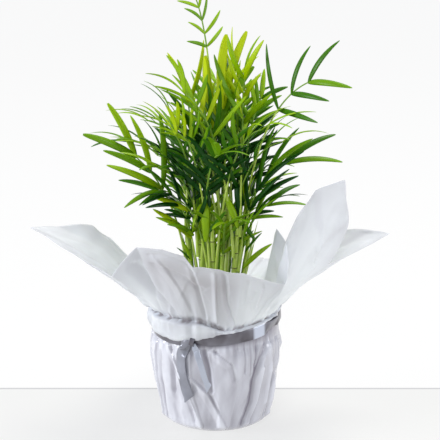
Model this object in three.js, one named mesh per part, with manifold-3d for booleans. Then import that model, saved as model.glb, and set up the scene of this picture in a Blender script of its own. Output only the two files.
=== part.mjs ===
// A parlour palm: a clump of young stems with feathered fronds in a 12 cm pot. The pot stands in
// a square sheet of stiff florist's wrap, gathered over the pot's rim and tied with a satin ribbon,
// so the sheet's corners spread above the ribbon as petals.
//
// Units are millimetres. +Z is up, +X is the plant's right-hand side and -Y is its front.
// The origin is the centre of the flat underside. Azimuths are degrees from +X towards +Y.

import * as THREE from "three";
import { mergeVertices } from "three/addons/utils/BufferGeometryUtils.js";
import Module from "manifold-3d";

const wasm = await Module();
wasm.setup();

// ---------------------------------------------------------------- driving dimensions

const GAP = 0.3; // clearance between two pieces that rest on each other

const POT = { rimRadius: 60, footRadius: 48, height: 112, wall: 1.6, rimDepth: 14, rimStep: 1.8, sides: 28 };
const SOIL = { top: 98, clearance: 0.4 };
const WRAP = {
  thickness: 1, folds: 15, foldDepth: 2.4, columns: 50, widestSpan: 11, pleat: 1.6,
  neck: 61.9, collar: 63.2, gather: 65.5, // radii under the ribbon, just over it and at the gathers
  // The loose roll between ribbon and gathers: it swells and ends between pairs of azimuths.
  puff: { least: 9, most: 20, swells: [110, 180], ends: [254, 280], bulge: 2.2 },
};
const RIBBON = { centre: 105, tilt: 7, highSide: 40, width: 12, thickness: 0.8, radius: 64.4, columns: 48 };
const TIE = {
  azimuth: -110,
  knot: { depth: 4.2, width: 8.5, height: 7.5 },
  tails: [{ swing: -5, length: 62 }, { swing: 11, length: 50 }],
  tailWidth: 0.8, // of the ribbon's
  pinch: 0.55, // a tail's width at the knot against its full width
  stand: 2.4, curl: 3.5, fall: 2, // how far a tail stands off, curls out and comes back
};
const CLUMP = { stems: 12, radius: 22, turn: 137.5, first: 20 };
const STEM = {
  footRadius: 2.4, tipRadius: 1.6, lowest: 165, highest: 215, splay: 12, wander: 2.5, sides: 6,
  swelling: 0.9, cap: 0.6, // extra radius at the foot, and the rounded end against the tip's radius
  rows: [0, 0.08, 0.35, 0.65, 0.9, 1], // shares of the height that have a ring
};
const RIB = {
  footRadius: 1.4, tipRadius: 0.7, stalkSteps: 5, lean: 0.2, clearance: 0.6,
  turns: [0, -4, 4, -8, 8, -12, 12, -17, 17, -22, 22, -28, 28, -35, 35, -42, 42, -50, 50, -58, 58, -66, 66],
  climbs: [0, 0.06, -0.06, 0.12, -0.12],
};
const LEAFLET = {
  rootWidth: 2.6, thickness: 1.1, crown: 0.7, contact: 0.001, // crown: how much of it is above the edges
  belly: 0.42, arch: 0.035, archMore: 0.03, droop: 0.6, // shares of the length, and of the arch
  lift: 14, tipSpread: 0.55, // above the blade in degrees, and the last pair's spread against the first's
  leastLength: 0.78, lastWidth: 1.12,
  room: { side: 0.75, above: 0.45, below: 0.15, tip: 0.9 }, // kept clear about each leaflet
};

const NO_ROOM = { side: 0, above: 0, below: 0, tip: 0 };

// What a leaflet is given up to find its own space: shares of its length, and swings up or down.
const FIT = { shares: [1, 0.85, 0.7, 0.5], swings: [0, 10, -10, 18, -18, 26, -26] };

// The skirt's outline below the ribbon: height, and radius at the middle of its folds.
const SKIRT_OUTLINE = [
  [0, 50], [2.5, 53.5], [12, 56.5], [30, 60], [50, 63], [70, 65.4], [83, 65.6], [91, 63.6],
];

// The sheet's edge above the gathers, one station for each corner, dip and turn of the edge:
// azimuth, length of sheet above the gathers, its rise at the gathers and its rise at the edge.
const EDGE = [
  [4, 134, 49, 14], [14, 97, 50, 36], [24, 72, 54, 48], [33, 50, 64, 60], [40, 64, 76, 74], [46, 50, 56, 44],
  [53, 60, 34, 20], [62, 60, 18, 6], [80, 72, 14, -4], [100, 116, 18, -22], [120, 70, 14, -2],
  [140, 60, 22, 10], [155, 55, 50, 40], [165, 70, 55, 48], [173, 98, 58, 44], [179, 124, 54, 26],
  [184, 149, 50, 20], [190, 112, 48, 25], [197, 84, 44, 34], [207, 66, 44, 40], [219, 84, 68, 66],
  [238, 86, 70, 68], [251, 81, 70, 68], [256, 69, 69, 66], [272, 76, 69, 66], [287, 71, 69, 66],
  [300, 62, 64, 62], [310, 62, 52, 48], [317, 90, 72, 74], [319.5, 128, 70, 73], [323, 151, 67, 69],
  [335, 162, 61, 64], [343, 121, 52, 53], [350, 66, 46, 42], [357, 72, 42, 32],
];

// The four kinds of frond, lowest first. reach and height place the end of the midrib, bow is how
// high the midrib climbs before it turns out, blade is the length that carries leaflets, leaf and
// width are the leaflets' sizes, and spread is the first pair's angle from the midrib.
const KINDS = {
  low: {
    seat: 0.3, reach: 50, height: 236, bow: 1, blade: 50, pairs: 3, leaf: 50, width: 7, spread: 50,
  },
  side: {
    seat: 0.5, reach: 72, height: 282, bow: 0.96, blade: 70, pairs: 4, leaf: 62, width: 8, spread: 52,
  },
  upper: {
    seat: 0.7, reach: 56, height: 320, bow: 0.84, blade: 74, pairs: 4, leaf: 56, width: 7, spread: 58,
  },
  heart: {
    seat: 0.9, reach: 32, height: 316, bow: 0.4, blade: 34, pairs: 1, leaf: 84, width: 8, spread: 28,
  },
};

// How far each kind's azimuth is from its stem's own.
const TURNS = { low: 0, side: 58, upper: -58, heart: 10 };

// How much of each size is left to the seeded rule.
const LOOSE = { azimuth: 14, reach: 0.16, height: 28, leaf: 0.12, roll: 16, aim: 6, lift: 10, length: 0.08 };

// Fronds that shape the outline, by stem and kind, with what sets each apart from its kind.
const LEADERS = {
  "1 upper": {
    azimuth: 178, reach: 30, height: 440, bow: 0.98, blade: 66, pairs: 5, leaf: 32, width: 6, spread: 56,
    roll: -40,
  },
  "3 heart": {
    azimuth: -135, reach: 26, height: 310, bow: 0.5, blade: 34, pairs: 2, leaf: 92, width: 9, spread: 28,
  },
  "5 heart": {
    azimuth: -60, reach: 12, height: 322, bow: 0.5, blade: 24, pairs: 1, leaf: 104, width: 12, spread: 15,
  },
  "5 low": {
    azimuth: 196, reach: 60, height: 240, bow: 1.04, blade: 60, pairs: 4, leaf: 54, width: 7, roll: -45,
  },
  "6 side": {
    azimuth: 12, reach: 50, height: 326, bow: 0.86, blade: 86, pairs: 6, leaf: 40, width: 7, spread: 64,
    roll: 50,
  },
  "6 upper": {
    azimuth: -6, reach: 97, height: 352, bow: 0.84, blade: 44, pairs: 2, leaf: 66, width: 9, spread: 52,
    roll: 62,
  },
  "9 upper": {
    azimuth: 10, reach: 28, height: 350, bow: 0.72, blade: 52, pairs: 2, leaf: 66, width: 9, spread: 46,
    roll: 64,
  },
  "10 low": { azimuth: 150, reach: 46, height: 228, seat: 0.2, roll: -25 },
  "10 side": {
    azimuth: 184, reach: 80, height: 272, bow: 0.7, blade: 44, pairs: 2, leaf: 84, width: 10.5, spread: 30,
    roll: -60,
  },
  "10 upper": {
    azimuth: 172, reach: 62, height: 300, bow: 0.92, blade: 76, pairs: 5, leaf: 54, width: 7, spread: 50,
    roll: -45,
  },
  "11 low": {
    azimuth: -24, reach: 52, height: 222, bow: 0.94, blade: 50, width: 8, spread: 36, roll: 30,
  },
  "11 side": {
    azimuth: -10, reach: 68, height: 266, bow: 0.9, blade: 60, pairs: 3, leaf: 74, width: 9.5, spread: 26,
    roll: 45,
  },
};

const COLOURS = {
  pot: 0x6b5a50, soil: 0x2e221a, wrap: 0xdfe3e8, ribbon: 0x8d8a92, stem: 0x9bbf4a,
  low: 0x3f6b16, side: 0x2f5d12, upper: 0x4c7f18, heart: 0x8fb41a,
};

// ---------------------------------------------------------------- small tools

const radians = THREE.MathUtils.degToRad;
const lerp = THREE.MathUtils.lerp;
const smooth = (t) => THREE.MathUtils.smoothstep(t, 0, 1);

/** A seeded run of numbers from 0 to 1, the same wherever the rule is written again. */
class Dice {
  constructor(seed) {
    this.state = 7919 * (seed + 1);
    for (let i = 0; i < 4; i++) this.next();
  }
  next() {
    this.state = (this.state * 16807) % 2147483647;
    return this.state / 2147483647;
  }
  around(middle, share) {
    return middle * (1 + share * (2 * this.next() - 1));
  }
  swing(most) {
    return most * (2 * this.next() - 1);
  }
}

/** The point at an azimuth and radius, at a height. */
function polar(azimuth, radius, height) {
  const a = radians(azimuth);
  return new THREE.Vector3(radius * Math.cos(a), radius * Math.sin(a), height);
}

/** A closed geometry as a solid that can be joined and cut. */
function solidOf(geometry) {
  const bare = geometry.index ? geometry.toNonIndexed() : geometry.clone();
  bare.deleteAttribute("normal");
  bare.deleteAttribute("uv");
  const merged = mergeVertices(bare, 1e-4);
  return new wasm.Manifold(new wasm.Mesh({
    numProp: 3,
    vertProperties: merged.attributes.position.array,
    triVerts: new Uint32Array(merged.index.array),
  }));
}

/** A solid back as a geometry. */
function geometryOf(solid) {
  const mesh = solid.getMesh();
  const geometry = new THREE.BufferGeometry();
  geometry.setAttribute("position", new THREE.BufferAttribute(mesh.vertProperties, 3));
  geometry.setIndex(new THREE.BufferAttribute(mesh.triVerts, 1));
  geometry.computeVertexNormals();
  return geometry;
}

/** Moves every vertex of a geometry to where place(x, y, z) says. */
function reshape(geometry, place) {
  const position = geometry.attributes.position;
  for (let i = 0; i < position.count; i++) {
    const to = place(position.getX(i), position.getY(i), position.getZ(i));
    position.setXYZ(i, to.x, to.y, to.z);
  }
  return geometry;
}

/** A closed skin of rings, one for each row, where at(azimuth, row) is the point on it. */
function ringSkin(columns, rows, onAxis, at) {
  const profile = Array.from({ length: rows }, (_, row) => new THREE.Vector2(1, row));
  if (onAxis) {
    profile[0].x = 0;
    profile[rows - 1].x = 0;
  } else profile.push(profile[0].clone());
  const lathe = new THREE.LatheGeometry(profile, columns.length);
  const position = lathe.attributes.position;
  const perColumn = profile.length;
  for (let i = 0; i < position.count; i++) {
    const column = Math.floor(i / perColumn) % columns.length;
    const to = at(columns[column], (i % perColumn) % rows);
    position.setXYZ(i, to.x, to.y, to.z);
  }
  return lathe;
}

/** A skin drawn face by face over shared points. */
class Skin {
  constructor() {
    this.points = [];
    this.faces = [];
  }
  point(at) {
    this.points.push(at.x, at.y, at.z);
    return this.points.length / 3 - 1;
  }
  /** A face through its corners, counted counterclockwise from outside. */
  face(...corners) {
    for (let i = 2; i < corners.length; i++) this.faces.push(corners[0], corners[i - 1], corners[i]);
  }
  geometry() {
    const geometry = new THREE.BufferGeometry();
    geometry.setAttribute("position", new THREE.Float32BufferAttribute(this.points, 3));
    geometry.setIndex(this.faces);
    return geometry;
  }
}

/** A closed sheet from rows of points on its outer face, with its inner face square behind each one. */
function sheetSolid(rows, thickness) {
  const skin = new Skin();
  const columns = rows[0].length;
  const last = rows.length - 1;
  const near = (row, column) => rows[THREE.MathUtils.clamp(row, 0, last)][(column + columns) % columns];
  const behind = (at, row, column) => {
    const across = near(row, column + 1).clone().sub(near(row, column - 1));
    const up = near(row + 1, column).clone().sub(near(row - 1, column));
    return at.clone().addScaledVector(across.cross(up).normalize(), -thickness);
  };
  const outer = rows.map((points) => points.map((at) => skin.point(at)));
  const inner = rows.map((points, row) => points.map((at, column) => skin.point(behind(at, row, column))));
  for (let a = 0; a < columns; a++) {
    const b = (a + 1) % columns;
    for (let row = 0; row < last; row++) {
      skin.face(outer[row][a], outer[row][b], outer[row + 1][b], outer[row + 1][a]);
      skin.face(inner[row][a], inner[row + 1][a], inner[row + 1][b], inner[row][b]);
    }
    skin.face(outer[0][a], inner[0][a], inner[0][b], outer[0][b]);
    skin.face(outer[last][a], outer[last][b], inner[last][b], inner[last][a]);
  }
  return solidOf(skin.geometry());
}

/** Equally spaced azimuths. */
const around = (count) => Array.from({ length: count }, (_, i) => (360 * i) / count);

// ---------------------------------------------------------------- pot and soil

function potSolid() {
  const { rimRadius, footRadius, height, wall, rimDepth, rimStep, sides } = POT;
  const floor = WRAP.thickness + GAP;
  const neck = rimRadius - rimStep;
  const profile = [
    [0, floor], [footRadius, floor], [neck, height - rimDepth], [rimRadius, height - rimDepth],
    [rimRadius, height], [neck - wall, height], [footRadius - wall, floor + wall], [0, floor + wall],
  ].map(([r, z]) => new THREE.Vector2(r, z));
  return solidOf(new THREE.LatheGeometry(profile, sides).rotateX(Math.PI / 2));
}

/** The inside radius of the pot at a height. */
function potInside(z) {
  const floor = WRAP.thickness + GAP + POT.wall;
  const neck = POT.rimRadius - POT.rimStep;
  return lerp(POT.footRadius, neck, (z - floor) / (POT.height - floor)) - POT.wall;
}

function soilSolid() {
  const floor = WRAP.thickness + 2 * GAP + POT.wall;
  const profile = [[0, floor], [potInside(floor) - SOIL.clearance, floor],
    [potInside(SOIL.top) - SOIL.clearance, SOIL.top], [0, SOIL.top]].map(([r, z]) => new THREE.Vector2(r, z));
  return solidOf(new THREE.LatheGeometry(profile, POT.sides).rotateX(Math.PI / 2));
}

// ---------------------------------------------------------------- wrap

/** The height of the ribbon's middle at an azimuth: the ribbon sits a little crooked on the rim. */
const ribbonHeight = (azimuth) => RIBBON.centre + RIBBON.tilt * Math.cos(radians(azimuth - RIBBON.highSide));

/** How high the sheet puffs above the ribbon before it is gathered: most on the left. */
function puffHeight(azimuth) {
  const { least, most, swells, ends } = WRAP.puff;
  const step = ([from, to]) => smooth((((azimuth % 360) + 360) % 360 - from) / (to - from));
  return lerp(least, most, step(swells) - step(ends));
}

/** The folds' swing at an azimuth, from -1 to 1, with uneven spacing. */
function foldWave(azimuth) {
  const a = radians(azimuth);
  const phase = WRAP.folds * a + 1.3 * Math.sin(2 * a + 0.6) + 0.8 * Math.sin(5 * a);
  return 0.75 * Math.sin(phase) + 0.25 * Math.sin(2 * phase + 1);
}

/** The outer face of the skirt at one row of its outline. */
function skirtPoint(azimuth, row, inset) {
  const [z, r] = SKIRT_OUTLINE[row];
  const slack = Math.min(1, z / 12) * Math.min(1, (96 - z) / 12);
  return polar(azimuth, r - inset + WRAP.foldDepth * slack * foldWave(azimuth), z);
}

function skirtSolid() {
  const outline = SKIRT_OUTLINE.length;
  const tops = [[-5, WRAP.neck + 0.5], [1.5, WRAP.neck]]; // height above the ribbon's middle, radius
  const outside = (azimuth, row, inset) => {
    if (row < outline) return skirtPoint(azimuth, row, inset);
    const [rise, r] = tops[row - outline];
    return polar(azimuth, r - inset, ribbonHeight(azimuth) + rise);
  };
  const up = outline + tops.length;
  return solidOf(ringSkin(around(WRAP.columns), 2 * up + 2, true, (azimuth, row) => {
    if (row === 0) return new THREE.Vector3(0, 0, 0);
    if (row <= up) return outside(azimuth, row - 1, 0);
    if (row === 2 * up + 1) return new THREE.Vector3(0, 0, WRAP.thickness);
    const point = outside(azimuth, 2 * up - row, WRAP.thickness);
    if (row === 2 * up) point.z = WRAP.thickness;
    return point;
  }));
}

/** The sheet's edge at an azimuth, between its stations: length, rise at the gathers, rise at the edge. */
function edgeAt(azimuth) {
  const a = ((azimuth % 360) + 360) % 360;
  let k = EDGE.length - 1;
  while (k > 0 && EDGE[k][0] > a) k--;
  const from = EDGE[k];
  const to = EDGE[(k + 1) % EDGE.length];
  const span = (to[0] - from[0] + 360) % 360;
  const t = (a - from[0]) / span;
  return [1, 2, 3].map((i) => lerp(from[i], to[i], t));
}

/** The point of the flare's outer face a share of the way from the gathers to the edge. */
function flarePoint(azimuth, share) {
  const [length, low, high] = edgeAt(azimuth);
  const steps = 10;
  const point = { r: WRAP.gather, z: ribbonHeight(azimuth) + puffHeight(azimuth) };
  const pleat = WRAP.pleat * foldWave(azimuth) * (1 - 0.8 * share);
  for (let i = 0; i < steps; i++) {
    const at = (share * (i + 0.5)) / steps;
    const rise = radians(lerp(low, high, smooth(at)));
    point.r += (share * length * Math.cos(rise)) / steps;
    point.z += (share * length * Math.sin(rise)) / steps;
  }
  return polar(azimuth, point.r + pleat, point.z);
}

function flareSolid() {
  const columns = EDGE.flatMap(([azimuth], k) => {
    const span = (EDGE[(k + 1) % EDGE.length][0] - azimuth + 360) % 360;
    return span > WRAP.widestSpan ? [azimuth, azimuth + span / 2] : [azimuth];
  });
  const shares = [0, 0.25, 0.5, 0.75, 1];
  const overRibbon = RIBBON.width / 2 + 0.8;
  const bulge = (azimuth) => WRAP.puff.bulge * smooth((puffHeight(azimuth) - WRAP.puff.least + 1) / 8);
  const foot = [ // the sheet under and over the ribbon: height above its middle, radius
    () => [2.4, WRAP.neck],
    () => [overRibbon, WRAP.collar],
    (azimuth) => [(overRibbon + puffHeight(azimuth)) / 2, WRAP.gather + bulge(azimuth)],
  ];
  const outside = (azimuth, row) => {
    if (row >= foot.length) return flarePoint(azimuth, shares[row - foot.length]);
    const [rise, r] = foot[row](azimuth);
    return polar(azimuth, r, ribbonHeight(azimuth) + rise);
  };
  const rows = Array.from({ length: foot.length + shares.length }, (_, row) =>
    columns.map((azimuth) => outside(azimuth, row)));
  return sheetSolid(rows, WRAP.thickness);
}

// ---------------------------------------------------------------- ribbon

function ribbonSolid() {
  const { width, thickness, radius, columns } = RIBBON;
  const corners = [[0, -1], [1, -1], [1, 1], [0, 1]];
  return solidOf(ringSkin(around(columns), corners.length, false, (azimuth, row) => {
    const [out, up] = corners[row];
    return polar(azimuth, radius + out * thickness, ribbonHeight(azimuth) + (up * width) / 2);
  }));
}

/** A flat tail of the ribbon, hanging and curling away from the knot at the origin. */
function tailSolid({ swing, length }, out) {
  const tail = new THREE.BoxGeometry(RIBBON.thickness, RIBBON.width * TIE.tailWidth, length, 1, 2, 6);
  return solidOf(reshape(tail, (x, y, z) => {
    const t = 0.5 - z / length; // 0 at the knot, 1 at the cut end
    const stand = TIE.stand + TIE.curl * smooth(Math.min(1, 3 * t)) - TIE.fall * t;
    const open = lerp(TIE.pinch, 1, smooth(Math.min(1, 4 * t)));
    const slant = t > 0.99 ? y / 2 : 0; // the cut end is slanted
    return new THREE.Vector3(out + stand + x, y * open + swing * 1.6 * t, -t * length + slant);
  }));
}

/** The knot over the band with its hanging tails, joined in one. */
function tieSolid() {
  const { azimuth, tails, knot: { depth, width, height } } = TIE;
  const out = RIBBON.radius + RIBBON.thickness + GAP;
  const knot = new THREE.SphereGeometry(1, 10, 7).scale(depth, width, height).translate(out + depth, 0, 0);
  return wasm.Manifold.union([solidOf(knot), ...tails.map((tail) => tailSolid(tail, out))])
    .rotate([0, 0, azimuth]).translate([0, 0, ribbonHeight(azimuth)]);
}

// ---------------------------------------------------------------- stems

/** The stems' middle lines, on a sunflower spiral and splayed outwards. */
function stemPlan() {
  return Array.from({ length: CLUMP.stems }, (_, i) => {
    const dice = new Dice(i);
    const azimuth = CLUMP.first + CLUMP.turn * i;
    const radius = CLUMP.radius * Math.sqrt((i + 0.5) / CLUMP.stems);
    const foot = polar(azimuth, radius, SOIL.top + GAP);
    const top = lerp(STEM.lowest, STEM.highest, dice.next());
    const splay = (STEM.splay * radius) / CLUMP.radius;
    const tip = polar(azimuth, radius + splay, top);
    tip.x += dice.swing(STEM.wander);
    tip.y += dice.swing(STEM.wander);
    return { azimuth, foot, tip };
  });
}

/** The stem's middle line at a share of its height. */
const stemAt = (stem, t) => stem.foot.clone().lerp(stem.tip, t);

/** The stem's radius at a share of its height, with a slight swelling at the foot. */
const stemRadius = (t) => lerp(STEM.footRadius, STEM.tipRadius, t)
  + STEM.swelling * Math.max(0, 1 - t / STEM.rows[1]);

function stemSolid(stem) {
  const steps = STEM.rows.length - 1;
  const tube = new THREE.CylinderGeometry(1, 1, 1, STEM.sides, steps);
  return solidOf(reshape(tube, (x, y, z) => {
    const t = STEM.rows[Math.round((y + 0.5) * steps)];
    const radius = stemRadius(t) * (t === 1 ? STEM.cap : 1);
    const middle = stemAt(stem, t);
    return new THREE.Vector3(middle.x - z * radius, middle.y - x * radius, middle.z);
  }));
}

// ---------------------------------------------------------------- fronds

/** All fronds, each with its stem, its kind and its own sizes. */
function frondPlan(stems) {
  const fronds = [];
  stems.forEach((stem, i) => {
    Object.entries(KINDS).forEach(([kind, sizes], k) => {
      if (kind === "heart" && i % 2 === 1) return; // every other stem has a young frond in its heart
      const dice = new Dice(100 + 10 * i + k);
      const loose = {
        azimuth: stem.azimuth + TURNS[kind] + dice.swing(LOOSE.azimuth),
        reach: dice.around(sizes.reach, LOOSE.reach),
        height: sizes.height + dice.swing(LOOSE.height),
        leaf: dice.around(sizes.leaf, LOOSE.leaf),
        roll: dice.swing(LOOSE.roll),
      };
      const own = LEADERS[`${i + 1} ${kind}`];
      fronds.push({ ...sizes, ...loose, ...own, kind, stem: i, dice, name: `frond_${kind}_${i + 1}` });
    });
  });
  return fronds;
}

/** The midrib as a curve: up from the stem's side and over to the end of the blade. */
function ribCurve(frond, stem, turn, climb) {
  const azimuth = frond.azimuth + turn;
  const seat = frond.seat + climb;
  const side = stemRadius(seat) + GAP + RIB.footRadius;
  const from = stemAt(stem, seat).add(polar(azimuth, side, 0));
  const to = polar(azimuth, frond.reach, frond.height);
  const over = from.clone().lerp(to, RIB.lean);
  over.z = from.z + frond.bow * (to.z - from.z);
  return new THREE.QuadraticBezierCurve3(from, over, to);
}

const ribRadius = (t) => lerp(RIB.footRadius, RIB.tipRadius, t);

/** The least distance between two straight pieces, each given by its two ends. */
function pieceDistance(fromA, toA, fromB, toB) {
  const runA = toA.clone().sub(fromA);
  const runB = toB.clone().sub(fromB);
  const apart = fromA.clone().sub(fromB);
  const [aa, bb, ab] = [runA.dot(runA), runB.dot(runB), runA.dot(runB)];
  const [ca, cb] = [runA.dot(apart), runB.dot(apart)];
  const share = (value) => THREE.MathUtils.clamp(value, 0, 1);
  const slant = aa * bb - ab * ab;
  let onA = slant > 1e-9 ? share((ab * cb - ca * bb) / slant) : 0;
  let onB = (ab * onA + cb) / bb;
  if (onB < 0 || onB > 1) {
    onB = share(onB);
    onA = share((onB * ab - ca) / aa);
  }
  return apart.addScaledVector(runA, onA).addScaledVector(runB, -onB).length();
}

/** The least clearance between the surfaces of two tapered lines, each a run of points with radii. */
function clearance(a, b) {
  let least = Infinity;
  for (let i = 0; i + 1 < a.length; i++) {
    for (let j = 0; j + 1 < b.length; j++) {
      const apart = pieceDistance(a[i].at, a[i + 1].at, b[j].at, b[j + 1].at) - a[i].radius - b[j].radius;
      least = Math.min(least, apart);
    }
  }
  return least;
}

/** Half a leaflet's window, where the pairs stand and where the skin has its rings, as shares. */
function ribStations(frond, curve) {
  const length = curve.getLength();
  const first = 1 - frond.blade / length;
  const half = LEAFLET.rootWidth / 2 / length;
  const pairs = Array.from({ length: frond.pairs + 1 }, (_, i) => lerp(first, 1 - half, i / frond.pairs));
  const stalk = Array.from({ length: RIB.stalkSteps }, (_, i) => (first - 2 * half) * (i / RIB.stalkSteps));
  const windows = pairs.flatMap((at) => [at - half, Math.min(1, at + half)]);
  return { half, pairs, shares: [...stalk, ...windows] };
}

/** Turns each frond about the clump, and moves its foot, until its midrib is clear of all others. */
function settleRibs(fronds, stems) {
  const ring = (stem) => (t) => ({ at: stemAt(stem, t), radius: stemRadius(t) });
  const stemLines = stems.map((stem) => STEM.rows.map(ring(stem)));
  const tries = RIB.climbs.flatMap((climb) => RIB.turns.map((turn) => [climb, turn]));
  const settled = [];
  for (const frond of fronds) {
    let best = { room: -Infinity };
    for (const [climb, turn] of tries) {
      const curve = ribCurve(frond, stems[frond.stem], turn, climb);
      const stations = ribStations(frond, curve);
      const line = stations.shares.map((t) => ({ at: curve.getPointAt(t), radius: ribRadius(t) }));
      const room = Math.min(
        ...stemLines.map((other, i) => clearance(i === frond.stem ? line.slice(1) : line, other)),
        ...settled.map((other) => clearance(line, other.line)));
      if (room > best.room) best = { room, curve, stations, line, turn };
      if (room > RIB.clearance) break;
    }
    settled.push({ ...frond, ...best });
  }
  return settled;
}

/** The directions along, across and square to a frond's blade at a share of its midrib. */
function bladeFrame(frond, t) {
  const along = frond.curve.getTangent(t).normalize();
  const azimuth = radians(frond.azimuth + frond.turn);
  const level = new THREE.Vector3(-Math.sin(azimuth), Math.cos(azimuth), 0);
  const across = level.applyAxisAngle(along, radians(frond.roll));
  const face = new THREE.Vector3().crossVectors(along, across);
  return { along, across, face };
}

/** Where each leaflet of a frond stands on the midrib, its widest part, its tip and its sizes. */
function leafletPlan(frond) {
  const leaflets = [];
  frond.stations.pairs.forEach((at, pair) => {
    const share = pair / frond.pairs;
    for (const side of [1, -1]) {
      const { along, across, face } = bladeFrame(frond, at);
      const spread = frond.spread * lerp(1, LEAFLET.tipSpread, share);
      const out = radians(spread + frond.dice.swing(LOOSE.aim));
      const lift = radians(LEAFLET.lift + frond.dice.swing(LOOSE.lift));
      const swell = Math.sin(Math.PI * Math.min(1, (pair + 1) / frond.pairs));
      const heading = along.multiplyScalar(Math.cos(out)).addScaledVector(across, side * Math.sin(out));
      leaflets.push({
        pair,
        side,
        at,
        root: frond.curve.getPointAt(at),
        along: heading.addScaledVector(face, Math.sin(lift)).normalize(),
        face,
        length: frond.leaf * lerp(LEAFLET.leastLength, 1, swell) * frond.dice.around(1, LOOSE.length),
        width: frond.width * (pair === frond.pairs ? LEAFLET.lastWidth : 1),
        arch: frond.leaf * (LEAFLET.arch + LEAFLET.archMore * frond.dice.next()),
      });
    }
  });
  return leaflets;
}

/** A leaflet's ridge, its two edges at the widest place and its tip, with room about them if asked. */
function leafletPoints({ root, along, face, length, width, arch, side }, room = NO_ROOM) {
  const across = new THREE.Vector3().crossVectors(face, along).multiplyScalar(side).normalize();
  const up = new THREE.Vector3().crossVectors(along, across).multiplyScalar(side).normalize();
  const belly = root.clone().addScaledVector(along, LEAFLET.belly * length).addScaledVector(up, arch);
  const crown = LEAFLET.crown * LEAFLET.thickness;
  const edge = (toFoot) => belly.clone().addScaledVector(across, toFoot * (width / 2 + room.side))
    .addScaledVector(up, crown - LEAFLET.thickness - room.below);
  return {
    ridge: belly.clone().addScaledVector(up, crown + room.above),
    footEdge: edge(1),
    tipEdge: edge(-1),
    tip: root.clone().addScaledVector(along, length + room.tip).addScaledVector(up, -LEAFLET.droop * arch),
  };
}

/** Draws a leaflet out of a four-cornered window of the midrib. */
function drawLeaflet(skin, [ridgeFoot, edgeFoot, edgeTip, ridgeTip], points, side) {
  const ridge = skin.point(points.ridge);
  const tip = skin.point(points.tip);
  const footEdge = skin.point(points.footEdge);
  const tipEdge = skin.point(points.tipEdge);
  const faces = [
    [ridge, footEdge, edgeFoot, ridgeFoot], [footEdge, tipEdge, edgeTip, edgeFoot],
    [tipEdge, ridge, ridgeTip, edgeTip], [ridge, ridgeFoot, ridgeTip],
    [tip, footEdge, ridge], [tip, tipEdge, footEdge], [tip, ridge, tipEdge],
  ];
  for (const [first, ...rest] of faces) skin.face(first, ...(side > 0 ? rest : rest.reverse()));
}

/** The three corners of the midrib's section: its ridge, its left edge and its right edge. */
function ribCorners(frond, t) {
  const { across, face } = bladeFrame(frond, t);
  const middle = frond.curve.getPointAt(t);
  const radius = ribRadius(t);
  return [[0, 1], [0.87, -0.5], [-0.87, -0.5]].map(([left, up]) =>
    middle.clone().addScaledVector(across, left * radius).addScaledVector(face, up * radius));
}

/** A frond in one skin: its stalk and midrib, with a leaflet drawn out of each window that has one. */
function frondGeometry(frond, leaflets) {
  const skin = new Skin();
  const rings = frond.stations.shares.map((t) => ribCorners(frond, t).map((corner) => skin.point(corner)));
  for (let k = 0; k + 1 < rings.length; k++) {
    const [ridgeA, leftA, rightA] = rings[k];
    const [ridgeB, leftB, rightB] = rings[k + 1];
    const pair = (k - RIB.stalkSteps) / 2;
    const at = (side) => leaflets.find((leaf) => leaf.pair === pair && leaf.side === side);
    const [left, right] = [at(1), at(-1)];
    if (left) drawLeaflet(skin, [ridgeA, leftA, leftB, ridgeB], leafletPoints(left), 1);
    else skin.face(ridgeB, leftB, leftA, ridgeA);
    if (right) drawLeaflet(skin, [ridgeA, rightA, rightB, ridgeB], leafletPoints(right), -1);
    else skin.face(ridgeA, rightA, rightB, ridgeB);
    skin.face(rightB, rightA, leftA, leftB);
  }
  const [ridge0, left0, right0] = rings[0];
  skin.face(ridge0, left0, right0);
  skin.face(...rings[rings.length - 1].slice().reverse());
  return skin.geometry();
}

/** A leaflet alone with a little room all round, closed over its window on the midrib. */
function leafletRoom(frond, leaflet) {
  const skin = new Skin();
  const { half } = frond.stations;
  const corners = [leaflet.at - half, Math.min(1, leaflet.at + half)].map((t) => ribCorners(frond, t));
  const edge = leaflet.side > 0 ? 1 : 2;
  const window = [corners[0][0], corners[0][edge], corners[1][edge], corners[1][0]].map((c) => skin.point(c));
  drawLeaflet(skin, window, leafletPoints(leaflet, LEAFLET.room), leaflet.side);
  skin.face(...(leaflet.side < 0 ? window.slice().reverse() : window));
  return solidOf(skin.geometry());
}

/** Boxes of two solids overlap. */
function boxesMeet(a, b) {
  return [0, 1, 2].every((i) => a.min[i] <= b.max[i] && b.min[i] <= a.max[i]);
}

/** What is already placed, so that a leaflet which would touch it is turned, shortened or skipped. */
class Space {
  constructor() {
    this.taken = [];
  }
  add(solid, owner) {
    this.taken.push({ solid, owner, box: solid.boundingBox() });
  }
  touches(solid, owner) {
    const box = solid.boundingBox();
    return this.taken.some((t) => t.owner !== owner && boxesMeet(box, t.box)
      && solid.intersect(t.solid).volume() > LEAFLET.contact);
  }
}

/** A leaflet that fits its space, or null: tried as planned, then swung up or down and shortened. */
function fitted(frond, leaflet, space) {
  const tries = FIT.shares.flatMap((share) => FIT.swings.map((swing) => [share, swing]));
  for (const [share, swing] of tries) {
    const across = new THREE.Vector3().crossVectors(leaflet.along, leaflet.face).normalize();
    const turned = {
      ...leaflet,
      along: leaflet.along.clone().applyAxisAngle(across, radians(swing)),
      length: leaflet.length * share,
    };
    const room = leafletRoom(frond, turned);
    if (!space.touches(room, frond.name)) {
      space.add(room, `${frond.name} leaflet`);
      return turned;
    }
  }
  return null;
}

// ---------------------------------------------------------------- the whole object

const group = new THREE.Group();

function addMesh(name, geometry, colour, roughness = 0.6, metalness = 0) {
  const material = new THREE.MeshStandardMaterial({ color: colour, roughness, metalness });
  const mesh = new THREE.Mesh(geometry, material);
  mesh.name = name;
  group.add(mesh);
}

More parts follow.
